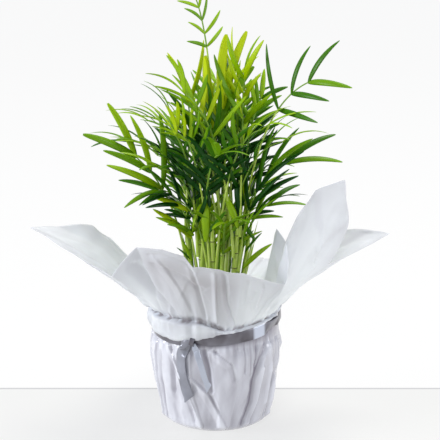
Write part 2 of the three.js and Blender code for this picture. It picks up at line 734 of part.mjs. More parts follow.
const space = new Space();
const fixed = {
  pot: [potSolid(), COLOURS.pot, 0.5],
  soil: [soilSolid(), COLOURS.soil, 0.95],
  wrap_skirt: [skirtSolid(), COLOURS.wrap, 0.7],
  wrap_flare: [flareSolid(), COLOURS.wrap, 0.7],
  ribbon_band: [ribbonSolid(), COLOURS.ribbon, 0.3],
  ribbon_tie: [tieSolid(), COLOURS.ribbon, 0.3],
};
for (const [name, [solid, colour, roughness]] of Object.entries(fixed)) {
  addMesh(name, geometryOf(solid), colour, roughness);
  space.add(solid, name);
}

const stems = stemPlan();
stems.forEach((stem, i) => {
  const solid = stemSolid(stem);
  addMesh(`stem_${i + 1}`, geometryOf(solid), COLOURS.stem);
  space.add(solid, `stem_${i + 1}`);
});

const fronds = settleRibs(frondPlan(stems), stems);
fronds.forEach((frond) => space.add(solidOf(frondGeometry(frond, [])), frond.name));
for (const frond of fronds) {
  const leaflets = leafletPlan(frond).map((leaflet) => fitted(frond, leaflet, space)).filter(Boolean);
  addMesh(frond.name, frondGeometry(frond, leaflets), COLOURS[frond.kind]);
}

export default group;
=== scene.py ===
"""A parlour palm in a plastic pot, stood in a gathered sheet of frosted film and tied with satin ribbon.

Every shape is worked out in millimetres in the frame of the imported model, with +Z up and -Y the
front, and written to Blender in metres. The stems and fronds grow again by the same seeded rule
as the solids, carried on to true leaflets.
"""

import logging
import math
from dataclasses import dataclass, field
from enum import Enum
from typing import Any, Sequence

import bpy
import numpy as np
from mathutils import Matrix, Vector


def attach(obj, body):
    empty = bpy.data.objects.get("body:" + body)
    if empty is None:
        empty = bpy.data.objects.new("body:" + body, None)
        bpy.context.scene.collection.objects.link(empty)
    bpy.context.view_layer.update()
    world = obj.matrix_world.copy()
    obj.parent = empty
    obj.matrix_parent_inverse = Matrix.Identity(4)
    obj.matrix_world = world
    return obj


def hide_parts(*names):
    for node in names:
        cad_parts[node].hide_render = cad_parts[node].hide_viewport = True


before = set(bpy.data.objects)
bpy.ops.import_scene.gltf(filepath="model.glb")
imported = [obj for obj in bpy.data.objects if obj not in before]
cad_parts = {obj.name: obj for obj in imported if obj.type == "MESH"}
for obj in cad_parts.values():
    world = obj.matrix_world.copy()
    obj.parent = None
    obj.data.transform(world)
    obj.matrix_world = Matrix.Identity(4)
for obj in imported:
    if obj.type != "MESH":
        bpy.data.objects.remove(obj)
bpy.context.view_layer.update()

Array = np.ndarray
Link = tuple[Any, str]
Pair = tuple[float, float]
Arrays = tuple[Array, Array]
Relief = tuple[Link | None, Link | None]
Tree = bpy.types.NodeTree
Piece = bpy.types.Object

LOG = logging.getLogger("palm")
MM = 0.001
UP = np.array([0.0, 0.0, 1.0])
SLACK = 0.8  # for soft lines through points that lie unevenly


# ---- numbers and vectors


def linear(colour: str) -> tuple[float, float, float, float]:
    """Turns an sRGB hex colour into linear light.

    Args:
        colour: Six hex digits.

    Returns:
        Red, green, blue and an alpha of one.
    """
    parts = [int(colour[i : i + 2], 16) / 255 for i in (0, 2, 4)]
    red, green, blue = (c / 12.92 if c <= 0.04045 else ((c + 0.055) / 1.055) ** 2.4 for c in parts)
    return red, green, blue, 1.0


def lerp(a: Any, b: Any, t: Any) -> Any:
    """The value a share t of the way from a to b."""
    return a + (b - a) * t


def smooth(t: Any) -> Any:
    """A soft step from 0 to 1."""
    t = np.clip(t, 0.0, 1.0)
    return t * t * (3 - 2 * t)


def unit(v: Array) -> Array:
    """Vectors at length one."""
    return v / np.linalg.norm(v, axis=-1, keepdims=True)


def turned(v: Array, axis: Array, angle: float) -> Array:
    """Vectors turned about unit axes by an angle in radians."""
    turn = math.cos(angle) * v + math.sin(angle) * np.cross(axis, v)
    return turn + (1 - math.cos(angle)) * np.sum(axis * v, axis=-1, keepdims=True) * axis


def together(*parts: Any) -> Array:
    """Numbers spread to one shape and put side by side, as the places of points."""
    return np.stack(np.broadcast_arrays(*parts), axis=-1)


def polar(azimuth: Any, radius: Any, height: Any) -> Array:
    """Points at azimuths in degrees, radii and heights."""
    a = np.radians(azimuth)
    return together(radius * np.cos(a), radius * np.sin(a), height)


def all_round(count: int) -> Array:
    """Azimuths in even steps all round."""
    return np.arange(count) * 360.0 / count


def away(azimuth: Any, centre: float) -> Any:
    """The signed angle from a centre to azimuths, in degrees between -180 and 180."""
    return (np.asarray(azimuth) - centre + 180.0) % 360.0 - 180.0


def bell(azimuth: Any, centre: float, width: float, power: int) -> Any:
    """One near an azimuth and nothing far from it, changing at the width, sharply for a high power."""
    return np.exp(-((away(azimuth, centre) / width) ** power))


def bent(t: Any, start: Array, control: Array, end: Array) -> Array:
    """Points of a curve with one control point, at values of its own parameter."""
    return (1 - t) ** 2 * start + 2 * (1 - t) * t * control + t**2 * end


def soft_line(x: Array, xs: Array, ys: Array, slack: float = 1.0) -> Array:
    """A soft line through points, or one through each column of them.

    Args:
        x: Where to measure it.
        xs: The points' places.
        ys: Their values.
        slack: How much of its full slope the line has at a point.

    Returns:
        The line's values at x.
    """
    slopes = np.gradient(ys, xs, axis=0) * slack
    k = np.clip(np.searchsorted(xs, x) - 1, 0, len(xs) - 2)
    span = (xs[k + 1] - xs[k]).reshape(-1, *[1] * (ys.ndim - 1))
    t = (x - xs[k]).reshape(span.shape) / span
    rise = (1 + 2 * t) * (1 - t) ** 2 * ys[k] + t**2 * (3 - 2 * t) * ys[k + 1]
    return rise + span * (t * (1 - t) ** 2 * slopes[k] - t**2 * (1 - t) * slopes[k + 1])


def measured(path: Array) -> Array:
    """How far along a path each of its points lies."""
    return np.concatenate([[0.0], np.cumsum(np.linalg.norm(np.diff(path, axis=0), axis=1))])


class Dice:
    """A seeded run of numbers, the same as the solids' own."""

    factor: int = 16807
    limit: int = 2147483647
    apart: int = 7919  # keeps the runs of neighbouring seeds apart
    skipped: int = 4  # the first numbers of a run still follow its seed

    def __init__(self, seed: int) -> None:
        """Starts the run, past its first few numbers."""
        self.state = self.apart * (seed + 1)
        for _ in range(self.skipped):
            self.next()

    def next(self) -> float:
        """The next number from 0 to 1."""
        self.state = (self.state * self.factor) % self.limit
        return self.state / self.limit

    def around(self, middle: float, share: float) -> float:
        """A number within a share of a middle one."""
        return middle * (1 + share * (2 * self.next() - 1))

    def swing(self, most: float) -> float:
        """A number from -most to most."""
        return most * (2 * self.next() - 1)

    def above(self, least: float, more: float, power: int = 1) -> float:
        """A number from least to least plus more, mostly near the least for a high power."""
        return least + more * self.next() ** power


class Bend:
    """A curve bent by one control point, measured along its length."""

    def __init__(self, start: Array, control: Array, end: Array, steps: int = 200) -> None:
        """Keeps the three points and measures the curve in steps."""
        self.start, self.control, self.end = start, control, end
        self.steps = np.linspace(0, 1, steps + 1)
        self.lengths = measured(self.point(self.steps))

    def point(self, t: Any) -> Array:
        """Points at values of the curve's own parameter."""
        return bent(np.asarray(t)[..., None], self.start, self.control, self.end)

    def at(self, share: Any) -> Array:
        """Points at shares of the length."""
        return self.point(np.interp(np.asarray(share) * self.lengths[-1], self.lengths, self.steps))

    def tangent(self, t: Any) -> Array:
        """The direction at values of the curve's own parameter."""
        t = np.asarray(t)[..., None]
        return unit((1 - t) * (self.control - self.start) + t * (self.end - self.control))


# ---- meshes


class Skin:
    """Faces gathered in millimetres and written as one mesh in metres."""

    def __init__(self) -> None:
        """Starts with nothing."""
        self.points: list[Array] = []
        self.quads: list[Array] = []
        self.places: list[Array] = []
        self.kinds: list[Array] = []
        self.tones: list[Array] = []
        self.count = 0

    def grid(self, points: Array, kind: int = 0, around: bool = False, uv: Array | None = None,
             tone: Array | None = None) -> None:
        """Adds a net of four-cornered faces.

        Args:
            points: Rows by columns of points, counted so that the outside is seen counterclockwise.
            kind: Which of the mesh's materials the faces take.
            around: Whether the last column joins the first.
            uv: A place in millimetres for each point, or None for rows and columns.
            tone: How far each point takes its material's other colour, from 0 to 1, or None for 0; painted
                shade on the film, a painted highlight on the ribbon.
        """
        rows, columns = points.shape[:2]
        if uv is None:
            uv = np.stack(np.meshgrid(np.arange(columns), np.arange(rows)), axis=-1)
        index = self.count + np.arange(rows * columns).reshape(rows, columns)
        if around:
            index = np.concatenate([index, index[:, :1]], axis=1)
            uv = np.concatenate([uv, 2 * uv[:, -1:] - uv[:, -2:-1]], axis=1)
        corners = [(slice(0, -1), slice(0, -1)), (slice(0, -1), slice(1, None))]
        corners += [(slice(1, None), slice(1, None)), (slice(1, None), slice(0, -1))]
        self.quads.append(np.stack([index[c] for c in corners], axis=-1).reshape(-1, 4))
        self.places.append(np.stack([uv[c] for c in corners], axis=-2).reshape(-1, 4, 2))
        self.kinds.append(np.full(len(self.quads[-1]), kind))
        self.points.append(points.reshape(-1, 3))
        self.tones.append(np.zeros(rows * columns) if tone is None else tone.ravel())
        self.count += rows * columns

    def tube(self, rings: Array, kind: int = 0, uv: Array | None = None, tone: float = 0.0) -> None:
        """Adds a closed tube.

        Args:
            rings: Rings of points, each counted counterclockwise as seen from the tube's last ring.
            kind: Which of the mesh's materials the faces take.
            uv: A place in millimetres for each point, or None for rows and columns.
            tone: How far the tube's side takes its material's other colour, from 0 to 1, such as the ribbon
                tails' painted sheen.
        """
        self.grid(rings, kind, around=True, uv=uv, tone=np.full(rings.shape[:2], tone))
        middle = rings.mean(axis=1, keepdims=True)
        for ring, centre in ((rings[0][::-1], middle[0]), (rings[-1], middle[-1])):
            self.grid(np.stack([ring, np.repeat(centre, len(ring), axis=0)]), kind, around=True)

    def write(self, name: str, materials: Sequence[bpy.types.Material]) -> Piece:
        """Writes the mesh.

        Args:
            name: The new object's name.
            materials: One for each kind of face.

        Returns:
            The new object, in the scene.
        """
        points = np.concatenate(self.points) * MM
        quads = np.concatenate(self.quads)
        mesh = bpy.data.meshes.new(name)
        for part, count, values in (
            (mesh.vertices, len(points), {"co": points.ravel()}),
            (mesh.loops, quads.size, {"vertex_index": quads.ravel()}),
            (mesh.polygons, len(quads), {
                "loop_start": np.arange(0, quads.size, 4), "material_index": np.concatenate(self.kinds),
                "use_smooth": np.ones(len(quads), dtype=bool)})):
            part.add(count)
            for key, value in values.items():
                part.foreach_set(key, value)
        mesh.uv_layers.new(name="place")
        mesh.uv_layers[0].data.foreach_set("uv", (np.concatenate(self.places) * MM).ravel())
        mesh.attributes.new("tone", "FLOAT", "POINT")
        mesh.attributes["tone"].data.foreach_set("value", np.concatenate(self.tones))
        for material in materials:
            mesh.materials.append(material)
        mesh.update(calc_edges=True)
        mesh.validate()
        piece = bpy.data.objects.new(name, mesh)
        bpy.context.scene.collection.objects.link(piece)
        return piece


def circle(sides: int) -> Array:
    """Corners of a round section of radius one."""
    a = np.arange(sides) * 2 * math.pi / sides
    return np.stack([np.cos(a), np.sin(a)], axis=-1)


def level_rings(path: Array, radius: Array, sides: int) -> Array:
    """A level ring of points round each point of a path."""
    return path[:, None, :] + np.pad(circle(sides), ((0, 0), (0, 1))) * radius[:, None, None]


def turned_ring(profile: Array, columns: int) -> Array:
    """A profile of radius and height, turned about the pot's axis into rows by columns of points."""
    return polar(all_round(columns)[None, :], profile[:, :1], profile[:, 1:])


def rounded(corners: Sequence[Pair], radius: float, steps: int = 4,
            part: float = 2.2) -> Array:
    """A profile with each inner corner rounded by a small bend.

    Args:
        corners: The profile's corners, as radius and height.
        radius: How far from its corner a bend starts.
        steps: How many straight stretches a bend has.
        part: A bend takes no more of a side than its length divided by this.

    Returns:
        The profile's points.
    """
    points = np.array(corners, dtype=float)
    found = [points[0]]
    for before, here, after in zip(points, points[1:], points[2:]):
        reach = min(radius, np.linalg.norm(before - here) / part, np.linalg.norm(after - here) / part)
        start, end = here + unit(before - here) * reach, here + unit(after - here) * reach
        found += [bent(t, start, here, end) for t in np.linspace(0, 1, steps + 1)]
    return np.array([*found, points[-1]])


# ---- materials

NOISE_LOW, NOISE_HIGH = 0.35, 0.65  # nearly all values of a noise pattern lie between these
LINES_IN_UNIT = 6.3  # how many lines and hollows a wave pattern of scale 1 has in one unit
NOISE_CELL = 2  # a noise pattern's cell holds a grain and its neighbour


def add_node(tree: Tree, kind: str, inputs: dict[str, Any] | None = None, **settings: Any) -> Any:
    """Adds a node with its settings and links.

    Args:
        tree: The material's or world's node tree.
        kind: The node's Blender type, less its first word.
        inputs: A value, or a pair of node and output name to link from, for each input's name.
        settings: The node's own settings.

    Returns:
        The new node.
    """
    node = tree.nodes.new("ShaderNode" + kind)
    for name, value in settings.items():
        setattr(node, name, value)
    for name, value in (inputs or {}).items():
        socket = next(s for s in node.inputs if s.name == name and s.enabled)
        if isinstance(value, tuple) and len(value) == 2 and isinstance(value[1], str):
            tree.links.new(value[0].outputs[value[1]], socket)
        else:
            socket.default_value = value
    return node


@dataclass(frozen=True)
class Finish:
    """A finish that starts from a real material and how its surface was made."""

    name: str
    colour: str
    roughness: float
    other: str = "808080"  # the tone that its pattern mixes in
    spread: float = 0.5  # how far that goes
    strength: float = 0.2  # of its relief
    raised: float = 0.1  # millimetres

    def sockets(self) -> dict[str, Any]:
        """The shader's plain values."""
        return {"Roughness": self.roughness, "IOR": 1.46}

    def pattern(self, tree: Tree) -> Relief:
        """Adds the pattern nodes.

        Args:
            tree: The material's node tree.

        Returns:
            The links for the shader's colour and its relief, or None for a plain one.
        """
        return None, None

    def make(self) -> bpy.types.Material:
        """The material, made once and shared.

        Returns:
            The material.
        """
        if self.name in bpy.data.materials:
            return bpy.data.materials[self.name]
        material = bpy.data.materials.new(self.name)
        material.use_nodes = True
        material.diffuse_color = linear(self.colour)
        tree = material.node_tree
        tree.nodes.clear()
        colour, height = self.pattern(tree)
        inputs: dict[str, Any] = {"Base Color": colour or linear(self.colour), **self.sockets()}
        if height:
            bump = add_node(tree, "Bump", {
                "Height": height, "Strength": self.strength, "Distance": self.raised * MM})
            inputs["Normal"] = (bump, "Normal")
        shader = add_node(tree, "BsdfPrincipled", inputs)
        add_node(tree, "OutputMaterial", {"Surface": (shader, "BSDF")})
        return material

    def mottled(self, tree: Tree, source: Link) -> Link:
        """Mixes the finish's colour with its other one by a pattern.

        Args:
            tree: The material's node tree.
            source: The pattern's output.

        Returns:
            The link for the shader's colour.
        """
        ramp = add_node(tree, "MapRange", {
            "Value": source, "From Min": NOISE_LOW, "From Max": NOISE_HIGH, "To Min": 0.0,
            "To Max": self.spread})
        return self.mixed(tree, (ramp, "Result"), linear(self.colour), self.other)

    @staticmethod
    def mixed(tree: Tree, share: Link, first: Any, other: str) -> Link:
        """Mixes two colours.

        Args:
            tree: The material's node tree.
            share: The output that says how far the mix goes.
            first: The first colour, or the output that gives it.
            other: The colour where the share is high.

        Returns:
            The link for the mixed colour.
        """
        mix = add_node(tree, "Mix", {
            "Factor": share, "A": first, "B": linear(other)}, data_type="RGBA")
        return mix, "Result"


@dataclass(frozen=True)
class FrostedFilm(Finish):
    """Frosted polypropylene film, cast and then gathered by hand: milky, with a low satin shine."""

    other: str = "b2aeb8"  # where the pot and compost show through, and the painted shade and light that the tone puts on folds and gathers
    strength: float = 0.3
    raised: float = 0.3
    crinkle: float = 2.4  # millimetres between the small crinkles that handling leaves
    glow: float = 0.8  # how much light passes into it: most where nothing lies behind
    shine: float = 0.1  # the weight of its clear outer gloss

    def sockets(self) -> dict[str, Any]:
        """Light soaks into the film and comes out again, so thin petals glow against the light."""
        return {
            "Roughness": self.roughness, "IOR": 1.49, "Subsurface Weight": self.glow,
            "Subsurface Scale": 0.002, "Subsurface Radius": (1.0, 1.0, 1.0),
            "Specular IOR Level": 0.4, "Coat Weight": self.shine, "Coat Roughness": 0.16,
        }

    def pattern(self, tree: Tree) -> Relief:
        """Faint crinkles, and the greyer tone where the film lies against what it wraps, which also carries
        painted shade and light.
        """
        place = add_node(tree, "TexCoord")
        fine = add_node(tree, "TexNoise", {
            "Vector": (place, "Object"), "Scale": 1 / (self.crinkle * MM * NOISE_CELL), "Detail": 3.0,
            "Roughness": 0.6})
        tone = add_node(tree, "Attribute", attribute_name="tone")
        return self.mixed(tree, (tone, "Fac"), linear(self.colour), self.other), (fine, "Fac")


@dataclass(frozen=True)
class SatinRibbon(Finish):
    """Woven polyester satin: long floats give a bright streak along the band and dark turns."""

    other: str = "8e8e98"  # where the satin turns from the light
    spread: float = 0.6
    back: str = "c6ccda"  # a painted pale highlight where the band and tails catch the light
    thread: float = 0.7  # millimetres across a line, several times the real thread so that it shows
    streak: float = 20.0  # millimetres between the changes of tone

    def sockets(self) -> dict[str, Any]:
        """The shine is drawn out square to the threads."""
        return {
            "Roughness": self.roughness, "IOR": 1.53, "Anisotropic": 0.5, "Sheen Weight": 0.3,
            "Sheen Roughness": 0.3, "Specular IOR Level": 0.7, "Metallic": 0.25,
        }

    def pattern(self, tree: Tree) -> Relief:
        """Fine lines along the band, a soft change of tone along it, and a painted pale highlight where the
        tone is high.
        """
        place = add_node(tree, "UVMap", uv_map="place")
        lines = add_node(tree, "TexWave", {
            "Vector": (place, "UV"), "Scale": 1 / (self.thread * MM * LINES_IN_UNIT), "Distortion": 0.4},
            bands_direction="Y")
        tone = add_node(tree, "TexNoise", {
            "Vector": (place, "UV"), "Scale": 1 / (self.streak * MM)})
        front = self.mottled(tree, (tone, "Fac"))
        painted_shine_share = add_node(tree, "Attribute", attribute_name="tone")
        return self.mixed(tree, (painted_shine_share, "Fac"), front, self.back), (lines, "Fac")


@dataclass(frozen=True)
class LeafBlade(Finish):
    """A palm leaflet's living skin: waxy, ribbed along its length, and lit through when thin."""

    other: str = "6f9c05"
    spread: float = 0.3
    strength: float = 0.12
    raised: float = 0.06
    vein: float = 2.2  # millimetres across a long vein, and as far again to the next
    streak: float = 5.0  # millimetres between the changes of tone
    drawn_out: float = 0.12  # their scale along the leaflet, against that across it

    def sockets(self) -> dict[str, Any]:
        """The wax gives a soft shine, and some light passes through the blade."""
        red, green, blue, _ = linear(self.colour)
        most = max(red, green, blue)
        return {
            "Roughness": self.roughness, "IOR": 1.42, "Subsurface Weight": 0.12, "Subsurface Scale": 0.001,
            "Subsurface Radius": (0.5 + 0.5 * red / most, 1.0, 0.2 + 0.3 * blue / most),
            "Specular IOR Level": 0.3, "Coat Weight": 0.05, "Coat Roughness": 0.3,
        }

    def pattern(self, tree: Tree) -> Relief:
        """Long veins as lines along the leaflet, with a tone that runs along them."""
        place = add_node(tree, "UVMap", uv_map="place")
        veins = add_node(tree, "TexWave", {
            "Vector": (place, "UV"), "Scale": 1 / (self.vein * MM * LINES_IN_UNIT), "Distortion": 0.3,
            "Detail": 1.0}, bands_direction="X")
        drawn = add_node(tree, "Mapping", {
            "Vector": (place, "UV"), "Scale": (1.0, self.drawn_out, 1.0)})
        tone = add_node(tree, "TexNoise", {
            "Vector": (drawn, "Vector"), "Scale": 1 / (self.streak * MM)})
        return self.mottled(tree, (tone, "Fac")), (veins, "Fac")


@dataclass(frozen=True)
class Grained(Finish):
    """A surface with one fine pattern that shows in its tone and its relief."""

    grain: float = 1.0  # millimetres across a grain or fibre
    drawn_out: float = 1.0  # its scale upwards, against that across
    detail: float = 2.0
    rough: float = 0.5

    def pattern(self, tree: Tree) -> Relief:
        """Grains or fibres in tone and relief."""
        place = add_node(tree, "TexCoord")
        drawn = add_node(tree, "Mapping", {
            "Vector": (place, "Object"), "Scale": (1.0, 1.0, self.drawn_out)})
        grains = add_node(tree, "TexNoise", {
            "Vector": (drawn, "Vector"), "Scale": 1 / (self.grain * MM * NOISE_CELL),
            "Detail": self.detail, "Roughness": self.rough})
        return self.mottled(tree, (grains, "Fac")), (grains, "Fac")


@dataclass(frozen=True)
class CaneSkin(Grained):
    """The smooth green skin of a palm cane, with fibres along it and pale bloom."""

    other: str = "b9cc74"
    spread: float = 0.7
    strength: float = 0.35
    raised: float = 0.2
    grain: float = 0.45
    drawn_out: float = 0.08
    detail: float = 3.0

    def sockets(self) -> dict[str, Any]:
        """A little light soaks into the soft tissue."""
        return {
            "Roughness": self.roughness, "IOR": 1.42, "Subsurface Weight": 0.2, "Subsurface Scale": 0.0015,
            "Subsurface Radius": (0.8, 1.0, 0.3), "Coat Weight": 0.1, "Coat Roughness": 0.35,
        }


@dataclass(frozen=True)
class Crumbs(Grained):
    """Damp milled peat or porous perlite: dull, rough, and uneven in tone from grain to grain."""

    other: str = "4a382a"
    spread: float = 0.9
    strength: float = 0.8
    raised: float = 0.8
    grain: float = 1.6
    detail: float = 5.0
    rough: float = 0.7


@dataclass(frozen=True)
class MouldedPlastic(Grained):
    """Injection-moulded polypropylene: even colour with the mould's grain, coarse enough to show."""

    other: str = "7a675b"
    spread: float = 0.3
    strength: float = 0.15
    grain: float = 0.8


class Ordered(Enum):
    """Named options that have an order."""

    def order(self) -> int:
        """This one's place in the order, from 0."""
        return list(type(self)).index(self)


class Shade(Ordered):
    """The fronds' plain colours, from the youngest to the oldest leaflets; the darker ones also paint shade
    deep in the crown.
    """

    LIME = LeafBlade("leaflet_lime", "bcd000", 0.42, other="ccdc18")
    YOUNG = LeafBlade("leaflet_young", "a6c200", 0.42, other="b6ce0c")
    FRESH = LeafBlade("leaflet_fresh", "8ab200", 0.4, other="9ec204")
    MID = LeafBlade("leaflet_mid", "669600", 0.4, other="7ea802")
    DEEP = LeafBlade("leaflet_deep", "3a7000", 0.38, other="4e8002")
    DARK = LeafBlade("leaflet_dark", "083e00", 0.38, other="184e00")


# The films' tone mixes in their other colour, as the pot showing through and as painted shade.
FILM = FrostedFilm("film_frosted_polypropylene", "ecf1fa", 0.5, other="9c979b")
BACKED = FrostedFilm("film_frosted_over_pot", "e2e3eb", 0.24, other="78727e", glow=0.05, shine=0.8)
SATIN = SatinRibbon("ribbon_polyester_satin", "4e4950", 0.28)
CANE = CaneSkin("cane_green_skin", "a2c22c", 0.42, other="cfe07c")
SCAR = CaneSkin("cane_ring_scar", "5c5a2a", 0.6, other="3f4420")
# A darker copy of the stalks' green, dealt to some shoots as painted shade.
SHADED = CaneSkin("stalk_shaded_green", "5f8c12", 0.42, other="86ac30")
PALE = CaneSkin("stalk_pale_bloom", "c4d870", 0.42, other="e4eeb0")
STALK = CaneSkin("stalk_pale_green", "a8c82c", 0.42, other="d6e48c")
MIDRIB = CaneSkin("midrib_green", "6f9a2a", 0.42, other="8fb03c")
PEAT = Crumbs("peat_damp_milled", "2e221a", 0.95)
PERLITE = Crumbs("perlite_expanded", "d8d2c6", 0.9, grain=0.8, other="bdb6a8")
PLASTIC = MouldedPlastic("pot_moulded_polypropylene", "6b5a50", 0.5)
TABLE = Finish("table_matt_lacquer", "7a7a78", 0.6)
# A darker strip along the table's back edge, painted shade where the rounded edge turns from the light.
EDGE_SHADE = Finish("table_edge_painted_shade", "5a5a60", 0.6)
GROUND = Finish("ground_white_paper", "444444", 0.9)


# ---- pot and soil


@dataclass
class Pot:
    """A moulded grower's pot with a stepped rim, mostly hidden by the sheet."""

    rim_radius: float = 60.0
    foot_radius: float = 48.0
    height: float = 112.0
    wall: float = 1.6
    floor: float = 1.3
    rim_depth: float = 14.0
    rim_step: float = 1.8
    bend: float = 0.8  # how far from a corner its rounding starts
    axis: float = 0.5  # the radius at which the profile starts and ends, close to the axis
    columns: int = 128

    def inside(self, z: float) -> float:
        """The inside radius at a height."""
        floor = self.floor + self.wall
        share = (z - floor) / (self.height - floor)
        return lerp(self.foot_radius, self.rim_radius - self.rim_step, share) - self.wall

    def build(self) -> Piece:
        """Turns the pot as one shell with a rounded rim.

        Returns:
            The new piece.
        """
        neck = self.rim_radius - self.rim_step
        corners = [
            (self.axis, self.floor), (self.foot_radius, self.floor), (neck, self.height - self.rim_depth),
            (self.rim_radius, self.height - self.rim_depth), (self.rim_radius, self.height),
            (neck - self.wall, self.height), (self.foot_radius - self.wall, self.floor + self.wall),
            (self.axis, self.floor + self.wall),
        ]
        skin = Skin()
        skin.grid(turned_ring(rounded(corners, self.bend), self.columns), around=True)
        pot = skin.write("pot_shell", [PLASTIC.make()])
        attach(pot, "root")
        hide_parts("pot")
        return pot


@dataclass
class Soil:
    """Damp peat with some perlite, level with the foot of the pot's rim."""

    top: float = 98.0
    floor: float = 3.5
    clear: float = 0.4  # between the soil and the pot's wall
    swell: float = 0.9  # how far the surface rises and falls
    sunk: float = 1.4  # how far it lies below the top on the whole
    parts: float = 6.0  # the edge stays near the top over the outermost of this many parts of the radius
    rows: int = 28
    columns: int = 96
    seed: int = 901
    crumbs: int = 520
    perlite_share: float = 0.12
    crumb_size: Pair = (0.7, 1.1)  # least, and how much more at most
    crumb_levels: tuple[float, ...] = (-0.95, -0.5, 0.35, 0.9)  # its rings, as shares of its half height
    crumb_sides: int = 6
    crumb_edge: float = 3.0  # how far inside the wall the outermost lie
    crumb_raised: float = 0.25  # how far its middle stands above the surface, as a share of its size
    crumb_height: float = 0.7  # half its height, as a share of its size

    def relief(self, x: Array, y: Array) -> Array:
        """The surface's unevenness in millimetres, from swells that cross and don't repeat together."""
        broad = np.sin(x / 9.1 + 1.3) * np.sin(y / 7.7 + 0.4) + 0.6 * np.sin(x / 4.3 + y / 5.9)
        return self.swell * broad - self.sunk

    def build(self, pot: Pot) -> Piece:
        """Makes the soil's body with an uneven top, and loose crumbs on it.

        Args:
            pot: The pot that it fills.

        Returns:
            The new piece.
        """
        radius = pot.inside(self.top) - self.clear
        shares = np.linspace(1, 0.01, self.rows)
        azimuth = all_round(self.columns)
        top = polar(azimuth[None, :], shares[:, None] * radius, self.top)
        fade = smooth((1 - shares) * self.parts)[:, None]
        top[..., 2] += fade * self.relief(top[..., 0], top[..., 1])
        foot = pot.inside(self.floor) - self.clear
        wall = polar(azimuth[None, :], np.array([[pot.axis], [foot], [lerp(foot, radius, 0.5)]]),
                     np.array([[self.floor], [self.floor], [lerp(self.floor, self.top, 0.5)]]))
        skin = Skin()
        skin.grid(np.concatenate([wall, top]), around=True)
        dice = Dice(self.seed)
        for _ in range(self.crumbs):
            self.crumb(skin, dice, radius)
        soil = skin.write("soil_surface", [PEAT.make(), PERLITE.make()])
        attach(soil, "root")
        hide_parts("soil")
        return soil

    def crumb(self, skin: Skin, dice: Dice, radius: float) -> None:
        """Adds one loose crumb of peat or perlite lying on the soil.

        Args:
            skin: The mesh to add it to.
            dice: Gives its place, size and shape.
            radius: The radius of the soil's surface.
        """
        place = polar(dice.next() * 360, (radius - self.crumb_edge) * math.sqrt(dice.next()), 0.0)
        size = dice.above(*self.crumb_size, power=2)
        kind = 1 if dice.next() < self.perlite_share else 0
        place[2] = self.top + float(self.relief(place[0], place[1])) + self.crumb_raised * size
        rings = np.zeros((len(self.crumb_levels), self.crumb_sides, 3))
        for ring, level in zip(rings, self.crumb_levels):
            reach = size * math.sqrt(1 - level * level) * dice.above(0.85, 0.3)
            ring[:, :2] = circle(self.crumb_sides) * reach * np.array([1.0, dice.above(0.75, 0.3)])
            ring[:, 2] = size * self.crumb_height * level
        skin.tube(rings + place, kind)


# ---- wrap


@dataclass(frozen=True)
class Fold:
    """One crease in the sheet, along a run of straight stretches."""

    path: tuple[Pair, ...]  # azimuth, and height on the skirt or share of the petal's length
    width: float
    depth: float  # out from the pot where positive
    steep: float = 0.35  # the steep side's width against the gentle one's

    @classmethod
    def rows(cls, *rows: tuple[float, ...]) -> tuple["Fold", ...]:
        """Folds from rows of width, depth, and the azimuth and place of each point."""
        return tuple(cls(tuple(zip(row[2::2], row[3::2])), *row[:2]) for row in rows)

    def at(self, azimuth: Array, place: Array, radius: float, reach: Any = 1.0) -> Array:
        """How far the sheet moves out.

        Args:
            azimuth: Azimuths in degrees.
            place: Places along the sheet, in the path's own unit.
            radius: The radius at which degrees are measured as millimetres.
            reach: Millimetres in one unit of place.

        Returns:
            The move at each point, greatest on the crease itself.
        """
        middle = self.path[0][0]
        x, y = away(azimuth, middle) * math.radians(radius), place * reach
        nearest = np.full(np.broadcast(x, y).shape, np.inf)
        width = np.full_like(nearest, self.width)
        for (a0, p0), (a1, p1) in zip(self.path, self.path[1:]):
            x0, x1 = (away(a, middle) * math.radians(radius) for a in (a0, a1))
            y0, y1 = p0 * reach, p1 * reach
            square = (x1 - x0) ** 2 + (y1 - y0) ** 2
            t = np.clip(((x - x0) * (x1 - x0) + (y - y0) * (y1 - y0)) / square, 0, 1)
            apart = np.hypot(x - lerp(x0, x1, t), y - lerp(y0, y1, t))
            steep = (x1 - x0) * (y - y0) > (y1 - y0) * (x - x0)
            width = np.where(apart < nearest, self.width * np.where(steep, self.steep, 1.0), width)
            nearest = np.minimum(nearest, apart)
        return self.depth * np.maximum(0.0, 1 - nearest / width)


@dataclass(frozen=True)
class Creases:
    """A run of creases by a seeded rule, for the sides and the back."""

    seed: int
    count: int
    first: float  # azimuth
    last: float
    low: float  # the lowest place along the sheet
    high: float
    lean: float = 7.0  # the most degrees that a crease leans by over its upper half
    turn: float = 9.0  # and over its lower half
    width: Pair = (4.0, 5.0)  # least, and how much more at most
    depth: float = 2.6

    def folds(self) -> list[Fold]:
        """Draws the creases, each somewhere in its own even share of the run.

        Returns:
            The creases.
        """
        dice = Dice(self.seed)
        found = []
        for i in range(self.count):
            azimuth = lerp(self.first, self.last, (i + dice.next()) / self.count)
            top = lerp(self.high, self.low, 0.35 * dice.next())
            foot = lerp(self.low, self.high, 0.45 * dice.next())
            bend = azimuth + dice.swing(self.lean)
            path = ((azimuth, top), (bend, (top + foot) / 2), (bend + dice.swing(self.turn), foot))
            found.append(Fold(path, dice.above(*self.width), dice.swing(self.depth)))
        return found


